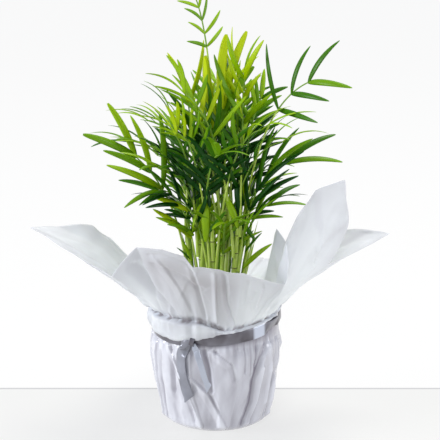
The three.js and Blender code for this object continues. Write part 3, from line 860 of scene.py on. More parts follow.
@dataclass(frozen=True)
class Crumple:
    """Flat facets with sharp edges, as handling leaves in stiff film."""

    seed: int
    rounds: tuple[int, ...] = (4, 7, 11, 13, 17, 23)  # how many facets each layer has all round
    depth: float = 1.0  # millimetres, or a share where it is a tone
    slant: float = 1 / 26  # the most that a layer's edges lean, in facets for each millimetre
    wave: float = 0.16  # how far the edges swing, in facets

    def at(self, azimuth: Array, along: Any = 0.0) -> Array:
        """How far the facets stand out.

        Args:
            azimuth: Azimuths in degrees.
            along: Millimetres along the sheet.

        Returns:
            The move at each point, from about minus to plus the depth.
        """
        dice = Dice(self.seed)
        total = np.zeros(np.broadcast(azimuth, along).shape)
        for turns in self.rounds:
            slope = dice.swing(self.slant)
            phase = turns * azimuth / 360 + along * slope + dice.next()
            phase = phase + self.wave * np.sin(np.radians(3 * azimuth) + along / 17 + 6 * dice.next())
            total = total + (4 * np.abs(phase % 1 - 0.5) - 1) * ((self.rounds[0] + 2) / (turns + 2))
        return self.depth * (total / 2)


@dataclass(frozen=True)
class Gather:
    """One small pleat that the ribbon draws in, running out above and below it."""

    azimuth: float
    width: float  # degrees
    depth: float
    above: float  # millimetres until it has run out
    below: float

    def at(self, azimuth: Array) -> Array:
        """How far the sheet moves out at the ribbon."""
        return self.depth * np.maximum(0.0, 1 - np.abs(away(azimuth, self.azimuth)) / self.width)


@dataclass
class Wrap:
    """The square sheet of frosted film: skirt, loose roll over the ribbon, and spreading petals."""

    thickness: float = 0.4
    folds: int = 15
    fold_depth: float = 1.0
    pleat_depth: float = 1.4
    neck: float = 61.9
    collar: float = 63.2
    gather: float = 65.5
    puff: Pair = (9.0, 20.0)  # least and most
    puff_swells: Pair = (110.0, 180.0)
    puff_ends: Pair = (254.0, 280.0)
    bulge: float = 2.2
    groove: float = 2.6  # how far the gathers are drawn in
    ribbon_centre: float = 105.0
    ribbon_tilt: float = 7.0
    ribbon_high: float = 40.0
    ribbon_width: float = 12.0

    # The pleats at the ribbon; each pair is the least, and how much more at most.
    gather_seed: int = 700
    last_gather: float = 357.0
    gathers_out: float = 0.55  # the share of them that stand out
    gather_depth: Pair = (0.6, 2.2)
    gather_width: Pair = (2.2, 3.2)
    gather_above: Pair = (10.0, 34.0)
    gather_below: Pair = (8.0, 26.0)
    gather_apart: Pair = (3.2, 5.2)

    # The skirt.
    skirt_columns: int = 560
    skirt_rows: int = 66
    skirt_top: float = 91.0
    skirt_radius: float = 62.0
    foot_rings: tuple[float, ...] = (0.5, 16.0, 32.0, 44.0)
    foot_run: float = 7.0  # how far above the foot the folds reach their depth
    tie_run: Pair = (99.0, 10.0)  # where they have run out behind the ribbon, and over how far
    gathers_from: float = 96.0  # the height from which the pleats run down
    skirt_range: Pair = (-3.8, 3.0)
    skirt_crumple: Crumple = Crumple(40, depth=0.8)
    skirt_crinkle: Crumple = Crumple(42, (17, 27, 41, 59), 0.4)
    skirt_creases: Creases = Creases(720, 34, -17, 198, 4, 88)
    skirt_tone: float = 0.3
    skirt_turned: Pair = (0.2, 340.0)  # how much darker away from the light, and where
    fold_painted_shade: float = 0.11  # painted shade and light: how much lighter for each millimetre out, darker in the valleys
    skirt_facing: float = 0.36  # how much lighter where a fold leans to the light

    # The roll.
    petal_columns: int = 520
    loose: Pair = (226.0, 42.0)  # where the roll hangs most, and half how far
    roll_crumple: Crumple = Crumple(55, (7, 13, 19, 29, 41, 59))
    roll_creased: Crumple = Crumple(58, (3, 5, 8, 13, 21), 1.2)
    # Painted wrinkle shade on the roll, apart from the creases in its mesh.
    roll_wrinkle_shade: Crumple = Crumple(59, (3, 5, 8, 13, 21), 0.3)
    roll_tone: float = 0.24
    roll_steps: int = 5  # rows from one station to the next
    row_apart: float = 8.0  # millimetres between stations, as the facets count them
    dabs: Crumple = Crumple(56, (23, 37, 53, 71), 1.6)
    dab_tones: tuple[float, float, float] = (0.6, 0.0, 1.3)  # the painted shadow's middle, least and most

    # The petals.
    petal_rows: int = 60
    petal_steps: int = 6  # short straight runs in each row
    petal_radius: float = 85.0
    edge_trim: float = 0.4  # how much shorter the petals are than the edge below says
    petal_crumple: Crumple = Crumple(60)
    petal_creases: Creases = Creases(760, 44, 0, 360, 0.08, 0.98)
    backed: Pair = (251.0, 34.0)  # where stems stand behind the petals and their painted shade falls on the film, and half how far
    # Painted light: how much lighter where a fold leans to the light.
    petal_facing: float = 0.2
    petal_darkest: float = 0.9

    # The skirt's height and radius.
    outline: tuple[Pair, ...] = (
        (0, 50), (2.5, 53.5), (12, 56.5), (30, 60), (50, 63), (70, 65.4), (83, 65.6), (91, 63.6),
    )
    # The edge's azimuth, the petal's length there, and its rise at the gathers and at the edge.
    edge: tuple[tuple[float, float, float, float], ...] = (
        (4, 134, 49, 14), (14, 97, 50, 36), (24, 72, 54, 48), (33, 50, 64, 60), (40, 64, 76, 74),
        (46, 50, 56, 44), (53, 60, 34, 20), (62, 60, 18, 6), (80, 72, 14, -4), (100, 116, 18, -22),
        (120, 70, 14, -2), (140, 60, 22, 10), (155, 55, 50, 40), (165, 70, 55, 48), (173, 98, 58, 44),
        (179, 124, 54, 26), (184, 149, 50, 20), (190, 112, 48, 25), (197, 84, 44, 34), (207, 66, 44, 40),
        (219, 84, 68, 66), (238, 86, 70, 68), (251, 81, 70, 68), (256, 69, 69, 66), (272, 76, 69, 66),
        (287, 71, 69, 66), (300, 62, 64, 62), (310, 62, 52, 48), (317, 90, 72, 76), (319.5, 121, 70, 75),
        (322, 133, 68, 75), (324, 147, 66.5, 73.5), (335, 161, 61, 66), (339, 140, 56.5, 64),
        (343, 120, 52, 56), (350, 66, 46, 42), (357, 72, 42, 32),
    )
    front_folds: tuple[Fold, ...] = Fold.rows(
        (5, -2.0, 228, 85, 230, 64, 228.5, 42), (7, 2.0, 266, 88, 274, 84, 281, 77),
        (5, -1.6, 271, 88, 284, 75, 288, 58), (7, 2.2, 246.5, 60, 262, 42.5, 279.5, 5.5),
        (7, -3.4, 323.5, 91, 314, 76, 307.5, 54, 306.5, 29, 298.5, 5), (5, 2.0, 326, 88, 329, 53, 328, 25),
        (4, -1.6, 333, 38, 328, 3), (2.5, -1.2, 297, 91, 297, 65), (2.5, -1.2, 303, 91, 303, 61),
        (3, -1.4, 311, 91, 307.5, 70), (5, 2.0, 316, 66, 313, 30, 306, 6),
        (5, 2.4, 223, 91, 235, 68, 247, 32, 255, 6), (5, -2.2, 214, 78, 211, 47, 209, 3),
        (4, 1.8, 247, 84, 247, 66, 247.5, 41, 256, 6), (4, -1.8, 240, 80, 242, 50, 249, 12),
        (4, -2.2, 261, 90, 265, 70, 267, 46), (12, 1.2, 290, 86, 291, 50, 284, 8),
        (6, 2.0, 203, 86, 201, 50, 199, 6), (6, 2.0, 341, 86, 340, 50, 342, 6),
        (8, -1.6, 266, 40, 272, 24, 270, 6),
    )
    petal_folds: tuple[Fold, ...] = Fold.rows(
        (16, 3.4, 322.5, 1.0, 328, 0.73, 337.5, 0.55), (5, 2.2, 342, 0.95, 340, 0.75, 338, 0.55),
        (5, 2.0, 342.5, 0.52, 342, 0.46, 337.5, 0.2, 320.5, 0.09),
        (6, -1.6, 228, 0.79, 246, 0.7, 260.5, 0.64), (7, -3.0, 216.5, 0.84, 220.5, 0.39, 235, 0.11),
        (4, -1.4, 227, 0.92, 240, 0.94, 252, 0.92), (9, 1.6, 232, 0.85, 243, 0.5, 250, 0.1),
        (5, -1.8, 256, 0.9, 259, 0.5, 262, 0.1), (4, 2.4, 269.5, 0.91, 270, 0.45, 271, 0.11),
        (5, -2.4, 276, 0.93, 278.5, 0.48, 286, 0.09), (4, -1.8, 291.5, 0.89, 292, 0.5),
        (5, 2.0, 300, 0.84, 300, 0.41), (5, -2.0, 310, 1.0, 307, 0.4, 303, 0.1),
        (6, -2.4, 167.5, 0.96, 165, 0.84, 160, 0.61), (12, 2.6, 184, 1.0, 187, 0.6, 196, 0.12),
        (8, -1.6, 176, 0.98, 180, 0.5, 186, 0.1), (7, 2.0, 196, 0.9, 203, 0.4, 212, 0.1),
        (10, -2.4, 358, 0.98, 351, 0.5, 344, 0.1), (9, 2.0, 8, 0.95, 6, 0.5, 2, 0.1),
        (14, 2.6, 100, 0.97, 101, 0.5, 99, 0.12), (9, -2.0, 86, 0.9, 92, 0.4, 94, 0.1),
        (9, -2.0, 114, 0.9, 108, 0.4, 106, 0.1), (6, 2.0, 66, 0.95, 64, 0.3),
        (6, -2.0, 150, 0.95, 146, 0.3), (6, 2.0, 133, 0.9, 130, 0.2),
    )

    def ribbon_height(self, azimuth: Array) -> Array:
        """The height of the ribbon's middle at azimuths."""
        return self.ribbon_centre + self.ribbon_tilt * np.cos(np.radians(azimuth - self.ribbon_high))

    def puff_height(self, azimuth: Array) -> Array:
        """How high the sheet puffs above the ribbon before it is gathered."""
        least, most = self.puff
        swelled, ended = (
            smooth((np.asarray(azimuth) % 360 - first) / (last - first))
            for first, last in (self.puff_swells, self.puff_ends))
        return lerp(least, most, swelled - ended)

    def fold_wave(self, azimuth: Array) -> Array:
        """The soft folds' uneven swing at azimuths, from -1 to 1."""
        a = np.radians(azimuth)
        phase = self.folds * a + 1.3 * np.sin(2 * a + 0.6) + 0.8 * np.sin(5 * a)
        return 0.75 * np.sin(phase) + 0.25 * np.sin(2 * phase + 1)

    def gathers(self) -> list[Gather]:
        """Draws the ribbon's pleats all round, uneven in place, depth and length.

        Returns:
            The pleats.
        """
        dice = Dice(self.gather_seed)
        found = []
        azimuth = 0.0
        while azimuth < self.last_gather:
            depth = dice.above(*self.gather_depth, power=2) * (1 if dice.next() < self.gathers_out else -1)
            found.append(Gather(azimuth, dice.above(*self.gather_width), depth,
                                dice.above(*self.gather_above, power=2), dice.above(*self.gather_below)))
            azimuth += dice.above(*self.gather_apart)
        return found

    def skirt_points(self, azimuth: Array) -> Arrays:
        """The sheet from the foot's middle up behind the ribbon.

        Args:
            azimuth: The columns' azimuths in degrees.

        Returns:
            Rows by columns of points, and how dark the film is at each, with painted shade and light on its
            folds.
        """
        heights, radii = (np.array(v, dtype=float) for v in zip(*self.outline))
        foot = len(self.foot_rings)
        z = np.concatenate([np.zeros(foot), np.linspace(0, self.skirt_top, self.skirt_rows)])
        base = np.concatenate([self.foot_rings, soft_line(z[foot:], heights, radii)])[:, None]
        gone, run = self.tie_run
        slack = (np.minimum(1, z / self.foot_run) * np.minimum(1, (gone - z) / run))[:, None]
        azimuths, rows = azimuth[None, :], z[:, None]
        move = self.fold_depth * self.fold_wave(azimuths) + self.skirt_crumple.at(azimuths, rows)
        move = move + self.skirt_crinkle.at(azimuths, rows)
        for fold in (*self.front_folds, *self.skirt_creases.folds()):
            move = move + fold.at(azimuths, rows, self.skirt_radius)
        for gather in self.gathers():
            drop = np.maximum(0, 1 - (self.gathers_from - rows) / gather.below)
            move = move + 0.8 * gather.at(azimuths) * drop
        move = slack * np.clip(move, *self.skirt_range)
        darker, place = self.skirt_turned
        # Painted shade and light over the pot's own tone: darker away from the light and in valleys, lighter
        # on ridges and folds that lean to the light.
        tone = self.skirt_tone + darker * np.cos(np.radians(azimuths - place)) - self.fold_painted_shade * move
        tone = np.clip(tone - self.skirt_facing * self.facing(move, self.skirt_radius), 0.0, 1.0)
        # Two more rows turn in behind the ribbon, at the darkest tone as painted shade.
        height = self.ribbon_height(azimuth)
        tucked = polar(azimuth[None, :], np.array([[self.neck + 0.4], [self.neck - 0.3]]),
                       np.stack([height - 4.5, height + 1.5]))
        points = np.concatenate([polar(azimuths, base + move, rows), tucked])
        return points, np.concatenate([tone, np.ones((2, len(azimuth)))])

    @staticmethod
    def facing(move: Array, radius: float, most: float = 0.8) -> Array:
        """How far the film leans to its left, which is where more light comes from.

        Args:
            move: How far each point has moved out, with columns all round.
            radius: The radius at which the columns' distance is measured.
            most: The most that counts.

        Returns:
            The slope at each point.
        """
        step = radius * 2 * math.pi / move.shape[1]
        slope = (np.roll(move, -1, axis=1) - np.roll(move, 1, axis=1)) / (2 * step)
        return np.clip(slope, -most, most)

    def shadow(self, azimuth: Array) -> Array:
        """How dark the painted shadow line at the gathers is: in uneven dabs, as its small crumples overlap.
        """
        middle, least, most = self.dab_tones
        return np.clip(middle + self.dabs.at(azimuth), least, most)

    def roll_points(self, azimuth: Array) -> Arrays:
        """The sheet under the ribbon, out over its top edge as a loose roll, and in to the gathers.

        Args:
            azimuth: The columns' azimuths in degrees.

        Returns:
            Rows by columns of points, and how dark the film is at each, with painted wrinkle shade and a
            painted shadow at the gathers.
        """
        puff = self.puff_height(azimuth)
        loose = bell(azimuth, *self.loose, 4)
        drawn = sum(gather.at(azimuth) for gather in self.gathers())
        crumpled = self.roll_crumple.at(azimuth)
        middle = self.ribbon_height(azimuth)
        upper, top = middle + self.ribbon_width / 2, middle + puff
        belly = self.gather + self.bulge * smooth((puff - 8) / 8) + 2.2 * loose + 0.7 * crumpled
        droop = (5.4 * loose + 1.5 * crumpled) * smooth((puff - 9) / 6)
        stations = [  # height and radius of each: behind the ribbon, over its edge, the roll, the gathers
            (middle + 2.5, self.neck + 0.1 * drawn),
            (upper + 0.6 - 0.3 * droop, self.collar + 0.8 + 2.0 * loose + 0.3 * drawn),
            (upper + 0.2 - droop, lerp(self.collar + 1.5, belly, 0.85) + 0.4 * drawn),
            (lerp(upper, top, 0.3) - 0.5 * droop, belly + 0.7 + 0.4 * drawn),
            (lerp(upper, top, 0.62), belly + 0.1 + 0.6 * drawn),
            (lerp(upper, top, 0.88), belly - 1.6 + 0.9 * drawn),
            (top - 0.4 + 2.4 * crumpled * smooth((puff - 9) / 4), self.gather - self.groove + 1.0 * drawn),
        ]
        last = len(stations) - 1
        fine = np.linspace(0, last, self.roll_steps * last + 1)
        rows, azimuths = fine[:, None], azimuth[None, :]
        z, r = (soft_line(fine, np.arange(last + 1), np.array(v), SLACK) for v in zip(*stations))
        r = r + self.roll_creased.at(azimuths, self.row_apart * rows) * smooth(rows - 1)
        # Painted shadow along the gathers, painted wrinkle shade, and painted light where the pleats stand
        # out.
        line = smooth((rows - 4.8) / 1.2) * self.shadow(azimuth)
        creased = self.roll_wrinkle_shade.at(azimuths, self.row_apart * rows)
        tone = np.clip(self.roll_tone - 0.06 * drawn + creased + line, 0.0, 1.0)
        return polar(azimuths, r, z), tone

    def edge_at(self, azimuth: Array) -> tuple[Array, Array, Array]:
        """The sheet's edge.

        Args:
            azimuth: Azimuths in degrees.

        Returns:
            The petal's length, its rise at the gathers and its rise at the edge, for each.
        """
        first = self.edge[0]
        stations = np.array(self.edge + ((first[0] + 360, *first[1:]),), dtype=float)
        a = (azimuth - first[0]) % 360 + first[0]
        length, low, high = (np.interp(a, stations[:, 0], stations[:, i]) for i in (1, 2, 3))
        return length - self.edge_trim, low, high

    def petal_line(self, azimuth: Array, shares: Array) -> tuple[Array, Array, Array]:
        """The petals before their folds, drawn out from the gathers in short straight runs.

        Args:
            azimuth: The columns' azimuths in degrees.
            shares: The rows' shares of the petal's length.

        Returns:
            Rows by columns of radii, heights and rises in radians.
        """
        length, low, high = self.edge_at(azimuth)
        radius = np.full_like(azimuth, self.gather)
        height = self.ribbon_height(azimuth) + self.puff_height(azimuth)
        rows = []
        for before, share in zip([None, *shares], shares):
            for i in range(0 if before is None else self.petal_steps):
                at = lerp(before, share, (i + 0.5) / self.petal_steps)
                rise = np.radians(lerp(low, high, smooth(at)))
                run = (share - before) * length / self.petal_steps
                radius, height = radius + run * np.cos(rise), height + run * np.sin(rise)
            rows.append((radius, height, np.radians(lerp(low, high, smooth(share)))))
        radii, heights, rises = (np.array(values) for values in zip(*rows))
        return radii, heights, rises

    def petal_points(self, azimuth: Array) -> Arrays:
        """The sheet from the gathers to its edge.

        Args:
            azimuth: The columns' azimuths in degrees.

        Returns:
            Rows by columns of points, and how dark the film is at each, with painted shade and light.
        """
        shares = np.linspace(0, 1, self.petal_rows)
        radii, heights, rise = self.petal_line(azimuth, shares)
        rows, azimuths = shares[:, None], azimuth[None, :]
        length = self.edge_at(azimuth)[0]
        reach = rows * length
        move = self.pleat_depth * self.fold_wave(azimuths) * (1 - 0.8 * rows) * smooth(reach / 14)
        move = move + (0.35 + 0.2 * rows) * self.petal_crumple.at(azimuths, reach) * smooth(reach / 10)
        for size, folds in ((0.85, self.petal_folds), (0.3, self.petal_creases.folds())):
            for fold in folds:
                move = move + size * fold.at(azimuths, rows, self.petal_radius, length) * smooth(reach / 8)
        for gather in self.gathers():
            move = move + 1.0 * gather.at(azimuths) * np.maximum(0, 1 - reach / gather.above)
        move = move - self.groove * (1 - smooth(reach / 8))
        # Painted shade: darker towards the edge, where stems stand behind and along the gathers; painted
        # light where a fold leans to the left.
        backed = bell(azimuths, *self.backed, 8) * (1 - 0.6 * smooth((rows - 0.7) / 0.3))
        drawn = 0.9 * np.exp(-reach / 2.4) * self.shadow(azimuth)
        tone = 0.04 + 0.45 * rows + 0.46 * backed + drawn
        tone = tone - self.petal_facing * self.facing(move, self.petal_radius)
        points = polar(azimuths, radii + move * np.sin(rise), heights - move * np.cos(rise))
        return points, np.clip(tone, 0, self.petal_darkest)

    def build(self) -> list[Piece]:
        """Makes the skirt and the petals, each a closed skin of the film's own thickness.

        Returns:
            The new pieces.
        """
        skirt = [self.skirt_points(all_round(self.skirt_columns))]
        around = all_round(self.petal_columns)
        petals = [self.roll_points(around), self.petal_points(around)]
        pieces = []
        for name, parts, node, film in (("wrap_skirt_film", skirt, "wrap_skirt", BACKED),
                                        ("wrap_petals_film", petals, "wrap_flare", FILM)):
            skin = Skin()
            points, tones = (np.concatenate(values) for values in zip(*parts))
            skin.grid(points, around=True, tone=tones)
            sheet = skin.write(name, [film.make()])
            solid = sheet.modifiers.new("film", "SOLIDIFY")
            solid.thickness = self.thickness * MM
            solid.offset = -1
            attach(sheet, "root")
            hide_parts(node)
            pieces.append(sheet)
        return pieces


# ---- ribbon


@dataclass
class Ribbon:
    """A satin band round the gathered sheet, with a small knot and two hanging tails."""

    wrap: Wrap
    width: float = 12.4
    thickness: float = 0.45
    radius: float = 64.7
    band_step: float = 1.25  # degrees from one ring of the band to the next
    band_out: float = 0.5  # how far outside the radius its middle line runs
    crown: float = 0.35  # how far the band's middle stands above its edges
    ripple: float = 2.5  # degrees by which it also tilts in and out all round
    ripples: int = 5
    knot_azimuth: float = -110.0
    knot_out: float = 1.2
    knot_size: tuple[float, float, float] = (5.2, 5.4, 1.2)  # half its height, how far out, how far aslant
    knot_sunk: float = 0.6
    knot_width: Pair = (6.2, 1.6)  # at its ends, and how much less in the middle
    pinch: Pair = (0.6, 11.0)  # how much narrower the band is at the knot, and half how far
    over: Pair = (-49.0, 6.5)  # where the band has a painted pale highlight, and half how far
    slant: float = 0.5  # how slanted a loose end's cut is, as a share of its width
    end_steps: int = 12  # rings from one point of a loose stretch to the next
    # Each loose stretch from the knot: sideways, up, off the sheet, width and turn in degrees.
    routes: tuple[tuple[tuple[float, float, float, float, float], ...], ...] = (
        ((-2, 0, 3, 5, 0), (-7, -7, 4.4, 10, 20), (-10.5, -15, 4.2, 12, -10), (-11, -28, 3.9, 12.5, -16),
         (-9, -43, 3.8, 12.5, -12), (-5.5, -56, 3.8, 11.5, 4), (-4, -61, 3.8, 11, 8)),
        ((1, -2, 3, 4, 0), (4, -9, 4, 6, 26), (8.5, -22, 4, 6, 34), (12, -36, 3.9, 5.5, 28),
         (16, -48, 3.9, 5, 18)),
        ((0, 0, 4.6, 4.5, 0), (-4.5, -1.5, 5.6, 7.5, -8), (-9, -3.6, 5, 10, -30),
         (-11.6, -4.6, 3.6, 10.4, -90), (-9.5, -4.4, 2.3, 10, -150), (-4.5, -2, 1.8, 7, -175),
         (0, 0, 1.6, 4.5, -180)),
    )
    painted_sheen: tuple[float, ...] = (0.3, 0.8, 0.2)  # how much painted pale sheen each loose stretch has
    turns: tuple[tuple[float, float, float], ...] = (  # azimuth, half-width and tilt of each turned stretch
        (-76, 17, -10), (-49, 6, 3), (-30, 10, -21), (20, 25, 8), (80, 30, -8), (150, 25, 9), (205, 18, -8),
    )

    @staticmethod
    def spots(count: int) -> Array:
        """Places across the ribbon's front and back over, as shares of its width."""
        front = np.linspace(-0.5, 0.5, count)
        return np.concatenate([front, front[::-1]])

    def flat(self, path: Array, outs: Array, widths: Array, count: int = 7) -> Arrays:
        """A flat strip carried along a path.

        Args:
            path: The strip's middle line.
            outs: The direction its outer face looks at each point.
            widths: Its width at each point.
            count: How many points it has across each face.

        Returns:
            Rings of points, and their places for the threads.
        """
        along = unit(np.gradient(path, axis=0))
        outs = unit(outs - np.sum(outs * along, axis=1, keepdims=True) * along)
        across = np.cross(outs, along)
        spots = self.spots(count)
        faces = np.repeat([1, -1], count)
        rings = [path + across * (s * widths)[:, None] + outs * face * self.thickness / 2
                 for s, face in zip(spots, faces)]
        return np.stack(rings, axis=1), together(measured(path)[:, None], spots * widths[:, None])

    def band(self, skin: Skin, count: int = 9) -> None:
        """Adds the band, tilted a little in and out where it turns.

        Args:
            skin: The mesh to add it to.
            count: How many points it has across each face.
        """
        azimuth = np.arange(0, 360, self.band_step)
        tilt = sum(t * bell(azimuth, a, w, 8) for a, w, t in self.turns)
        tilt = np.radians(tilt + self.ripple * np.sin(np.radians(self.ripples * azimuth)))
        up = polar(azimuth, -np.sin(tilt), np.cos(tilt))
        out = polar(azimuth, np.cos(tilt), np.sin(tilt))
        middle = polar(azimuth, self.radius + self.band_out, self.wrap.ribbon_height(azimuth))
        less, reach = self.pinch
        width = self.width * (1 - less * bell(azimuth, self.knot_azimuth, reach, 2))[:, None]
        spots = self.spots(count)
        faces = np.repeat([1, -1], count)
        rows = [middle + up * s * width + out * (self.crown * (1 - (2 * s) ** 2) + face * self.thickness / 2)
                for s, face in zip(spots, faces)]
        net = np.array([*rows, rows[0]])
        place = together((azimuth * math.radians(self.radius))[None, :],
                         np.append(spots, spots[0])[:, None] * self.width)
        # The tone paints a pale highlight where the band turns to the light.
        skin.grid(net, around=True, uv=place, tone=np.ones((len(net), 1)) * bell(azimuth, *self.over, 12))

    def knot(self, skin: Skin) -> None:
        """Adds a short turn of ribbon drawn tight over the band, pinched in the middle.

        Args:
            skin: The mesh to add it to.
        """
        out = polar(self.knot_azimuth, 1.0, 0.0)
        side = np.array([-out[1], out[0], 0.0])
        height = float(self.wrap.ribbon_height(self.knot_azimuth))
        place = polar(self.knot_azimuth, self.radius + self.knot_out, height)
        a = np.radians(np.linspace(-100, 100, 25))
        tall, deep, aslant = self.knot_size
        path = place + np.outer(np.sin(a) * tall, UP) + np.outer(np.cos(a) * deep - self.knot_sunk, out)
        path = path + np.outer(aslant * np.sin(a), side)
        outs = np.outer(np.sin(a), UP) + np.outer(np.cos(a), out)
        wide, less = self.knot_width
        rings, place = self.flat(path, outs, wide - less * np.cos(a) ** 2)
        skin.tube(rings, 0, place)

    def loose_end(
        self, skin: Skin, route: Sequence[tuple[float, float, float, float, float]], pale: float
    ) -> None:
        """Adds one tail or loop, lying on the sheet below the knot, with a slanted cut at its end.

        Args:
            skin: The mesh to add it to.
            route: The stretch's points from the knot.
            pale: How much painted pale sheen it has.
        """
        rows = np.array(route, dtype=float)
        last = len(rows) - 1
        t = np.linspace(0, last, self.end_steps * last + 1)
        side, up, lift, width, turn = soft_line(t, np.arange(last + 1), rows, SLACK).T
        heights, radii = (np.array(v, dtype=float) for v in zip(*self.wrap.outline))
        z = float(self.wrap.ribbon_height(self.knot_azimuth)) + up
        surface = np.where(z < heights[-1], np.interp(z, heights, radii), self.radius)
        azimuth = self.knot_azimuth + np.degrees(side / self.radius)
        path = polar(azimuth, surface + lift, z)
        out, sideways = polar(azimuth, 1.0, 0.0), polar(azimuth + 90, 1.0, 0.0)
        turn = np.radians(turn)[:, None]
        rings, place = self.flat(path, np.cos(turn) * out + np.sin(turn) * sideways, width)
        cut = self.spots(rings.shape[1] // 2) * self.width * self.slant
        rings[..., 2] += smooth((t - t[-1] + 0.6) / 0.6)[:, None] * cut[None, :]
        skin.tube(rings, 0, place, pale)

    def build(self) -> list[Piece]:
        """Makes the band, and the knot with its tails.

        Returns:
            The new pieces.
        """
        band, tie = Skin(), Skin()
        self.band(band)
        self.knot(tie)
        for route, pale in zip(self.routes, self.painted_sheen):
            self.loose_end(tie, route, pale)
        pieces = [skin.write(name, [SATIN.make()])
                  for skin, name in ((band, "ribbon_satin_band"), (tie, "ribbon_satin_tie"))]
        for piece, node in zip(pieces, ("ribbon_band", "ribbon_tie")):
            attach(piece, "root")
            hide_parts(node)
        return pieces


# ---- stems


@dataclass(frozen=True)
class Stem:
    """One cane's middle line and place in the clump."""

    azimuth: float
    foot: Array
    tip: Array

    def at(self, t: Any) -> Array:
        """Points at shares of the height."""
        return self.foot + (self.tip - self.foot) * np.asarray(t)[..., None]


@dataclass
class Clump:
    """The seedlings' canes, on a sunflower spiral and splayed outwards."""

    count: int = 12
    radius: float = 22.0
    turn: float = 137.5
    first: float = 20.0
    foot_radius: float = 2.4
    tip_radius: float = 1.6
    lowest: float = 165.0
    highest: float = 215.0
    splay: float = 12.0
    wander: float = 2.5
    swelling: float = 0.9
    swelling_share: float = 0.08
    rows: tuple[float, ...] = (0, 0.08, 0.35, 0.65, 0.9, 1)
    sides: int = 12
    cane_seeds: int = 400
    internode: float = 17.0
    first_node: Pair = (3.0, 4.0)  # its least height, and how much more at most
    node_rows: tuple[float, ...] = (-1.6, -0.5, 0.5, 1.6, 6.0)  # heights of the rings round a node
    node_swell: Pair = (0.45, 1.1)  # how far a node stands out, and half how high
    scar: float = 0.45  # half the height of a ring scar
    sheathed: float = 0.45  # the share of the height from which a pale sheath clasps the cane
    sheath: float = 0.5  # how thick it is
    foot_height: float = 98.3
    shoots: int = 44  # thin young shoots and leaf stalks that rise between the canes
    shoot_seeds: int = 6000
    shoot_sides: int = 8
    shoot_rows: int = 15
    shoot_ring: float = 3.0  # how far outside the canes' own ring the outermost stand
    # The middle value of each, and how far it varies, as a share.
    shoot_height: Pair = (92.0, 0.25)
    shoot_splay: Pair = (0.62, 0.35)
    shoot_thick: Pair = (1.15, 0.25)
    # The shoots' finishes by number; the darker copy among them paints shade.
    shoot_kinds: tuple[int, ...] = (2, 4, 3, 4)
    finishes: tuple[CaneSkin, ...] = (CANE, SCAR, STALK, SHADED, PALE)
    stems: list[Stem] = field(default_factory=list)

    def plan(self) -> None:
        """Draws the canes' middle lines."""
        for i in range(self.count):
            dice = Dice(i)
            azimuth = self.first + self.turn * i
            radius = self.radius * math.sqrt((i + 0.5) / self.count)
            top = lerp(self.lowest, self.highest, dice.next())
            tip = polar(azimuth, radius + self.splay * radius / self.radius, top)
            tip = tip + np.array([dice.swing(self.wander), dice.swing(self.wander), 0.0])
            self.stems.append(Stem(azimuth, polar(azimuth, radius, self.foot_height), tip))

    def radius_at(self, t: Any) -> Any:
        """A cane's radius at shares of its height."""
        swell = self.swelling * np.maximum(0, 1 - np.asarray(t) / self.swelling_share)
        return lerp(self.foot_radius, self.tip_radius, t) + swell

    def build(self) -> Piece:
        """Makes all canes, each with a ring scar at each node and a pointed sheath at the top.

        Returns:
            The new piece.
        """
        skin = Skin()
        for i, stem in enumerate(self.stems):
            self.cane(skin, stem, Dice(self.cane_seeds + i))
        for i in range(self.shoots):
            self.shoot(skin, Dice(self.shoot_seeds + i))
        canes = skin.write("stem_canes", [finish.make() for finish in self.finishes])
        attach(canes, "root")
        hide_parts(*[f"stem_{i + 1}" for i in range(self.count)])
        return canes

    def shoot(self, skin: Skin, dice: Dice) -> None:
        """Adds one thin shoot, straight below and bowed outwards above, drawn to a point.

        Args:
            skin: The mesh to add it to.
            dice: Gives its place and sizes.
        """
        azimuth, radius = 360 * dice.next(), (self.radius + self.shoot_ring) * math.sqrt(dice.next())
        height = dice.around(*self.shoot_height)
        splay, thick = dice.around(*self.shoot_splay) * radius, dice.around(*self.shoot_thick)
        t = np.linspace(0, 1, self.shoot_rows)
        path = polar(azimuth + dice.swing(9) * t, radius + splay * t**1.5, self.foot_height + height * t)
        size = thick * (1 + 0.4 * (1 - smooth(t * 6))) * (1 - 0.9 * smooth((t - 0.8) / 0.2))
        kind = self.shoot_kinds[int(len(self.shoot_kinds) * dice.next()) % len(self.shoot_kinds)]
        skin.grid(level_rings(path, size, self.shoot_sides), kind, around=True)

    def cane(self, skin: Skin, stem: Stem, dice: Dice) -> None:
        """Adds one cane, ring by ring, with its nodes.

        Args:
            skin: The mesh to add it to.
            stem: Its middle line.
            dice: Gives the places of its nodes.
        """
        height = float(np.linalg.norm(stem.tip - stem.foot))
        nodes = [dice.above(*self.first_node)]
        while nodes[-1] < height:
            nodes.append(nodes[-1] + dice.around(self.internode, 0.3))
        rows = {0.0, *(node + row for node in nodes for row in self.node_rows)}
        z = [*sorted(row for row in rows if 0 <= row < height), height]
        t = np.array(z) / height
        out, reach = self.node_swell
        swell = sum(out * np.exp(-(((np.array(z) - node) / reach) ** 2)) for node in nodes)
        sheath = self.sheath * smooth((t - self.sheathed) / 0.1) * (1 - 0.5 * t)
        radius = (self.radius_at(t) + swell + sheath) * np.where(t > 0.999, 0.5, 1)
        rings = level_rings(stem.at(t), radius, self.sides)
        scars = [any(abs((a + b) / 2 - node) < self.scar for node in nodes) for a, b in zip(z, z[1:])]
        start = 0
        for k in range(1, len(z)):
            if k == len(z) - 1 or scars[k] != scars[k - 1]:
                kind = 1 if scars[k - 1] else (2 if t[start] > self.sheathed else 0)
                skin.grid(rings[start : k + 1], kind, around=True)
                start = k
        point = np.repeat(stem.tip[None] + 0.8 * UP, self.sides, axis=0)
        skin.grid(np.stack([rings[-1], point]), 2, around=True)


# ---- fronds


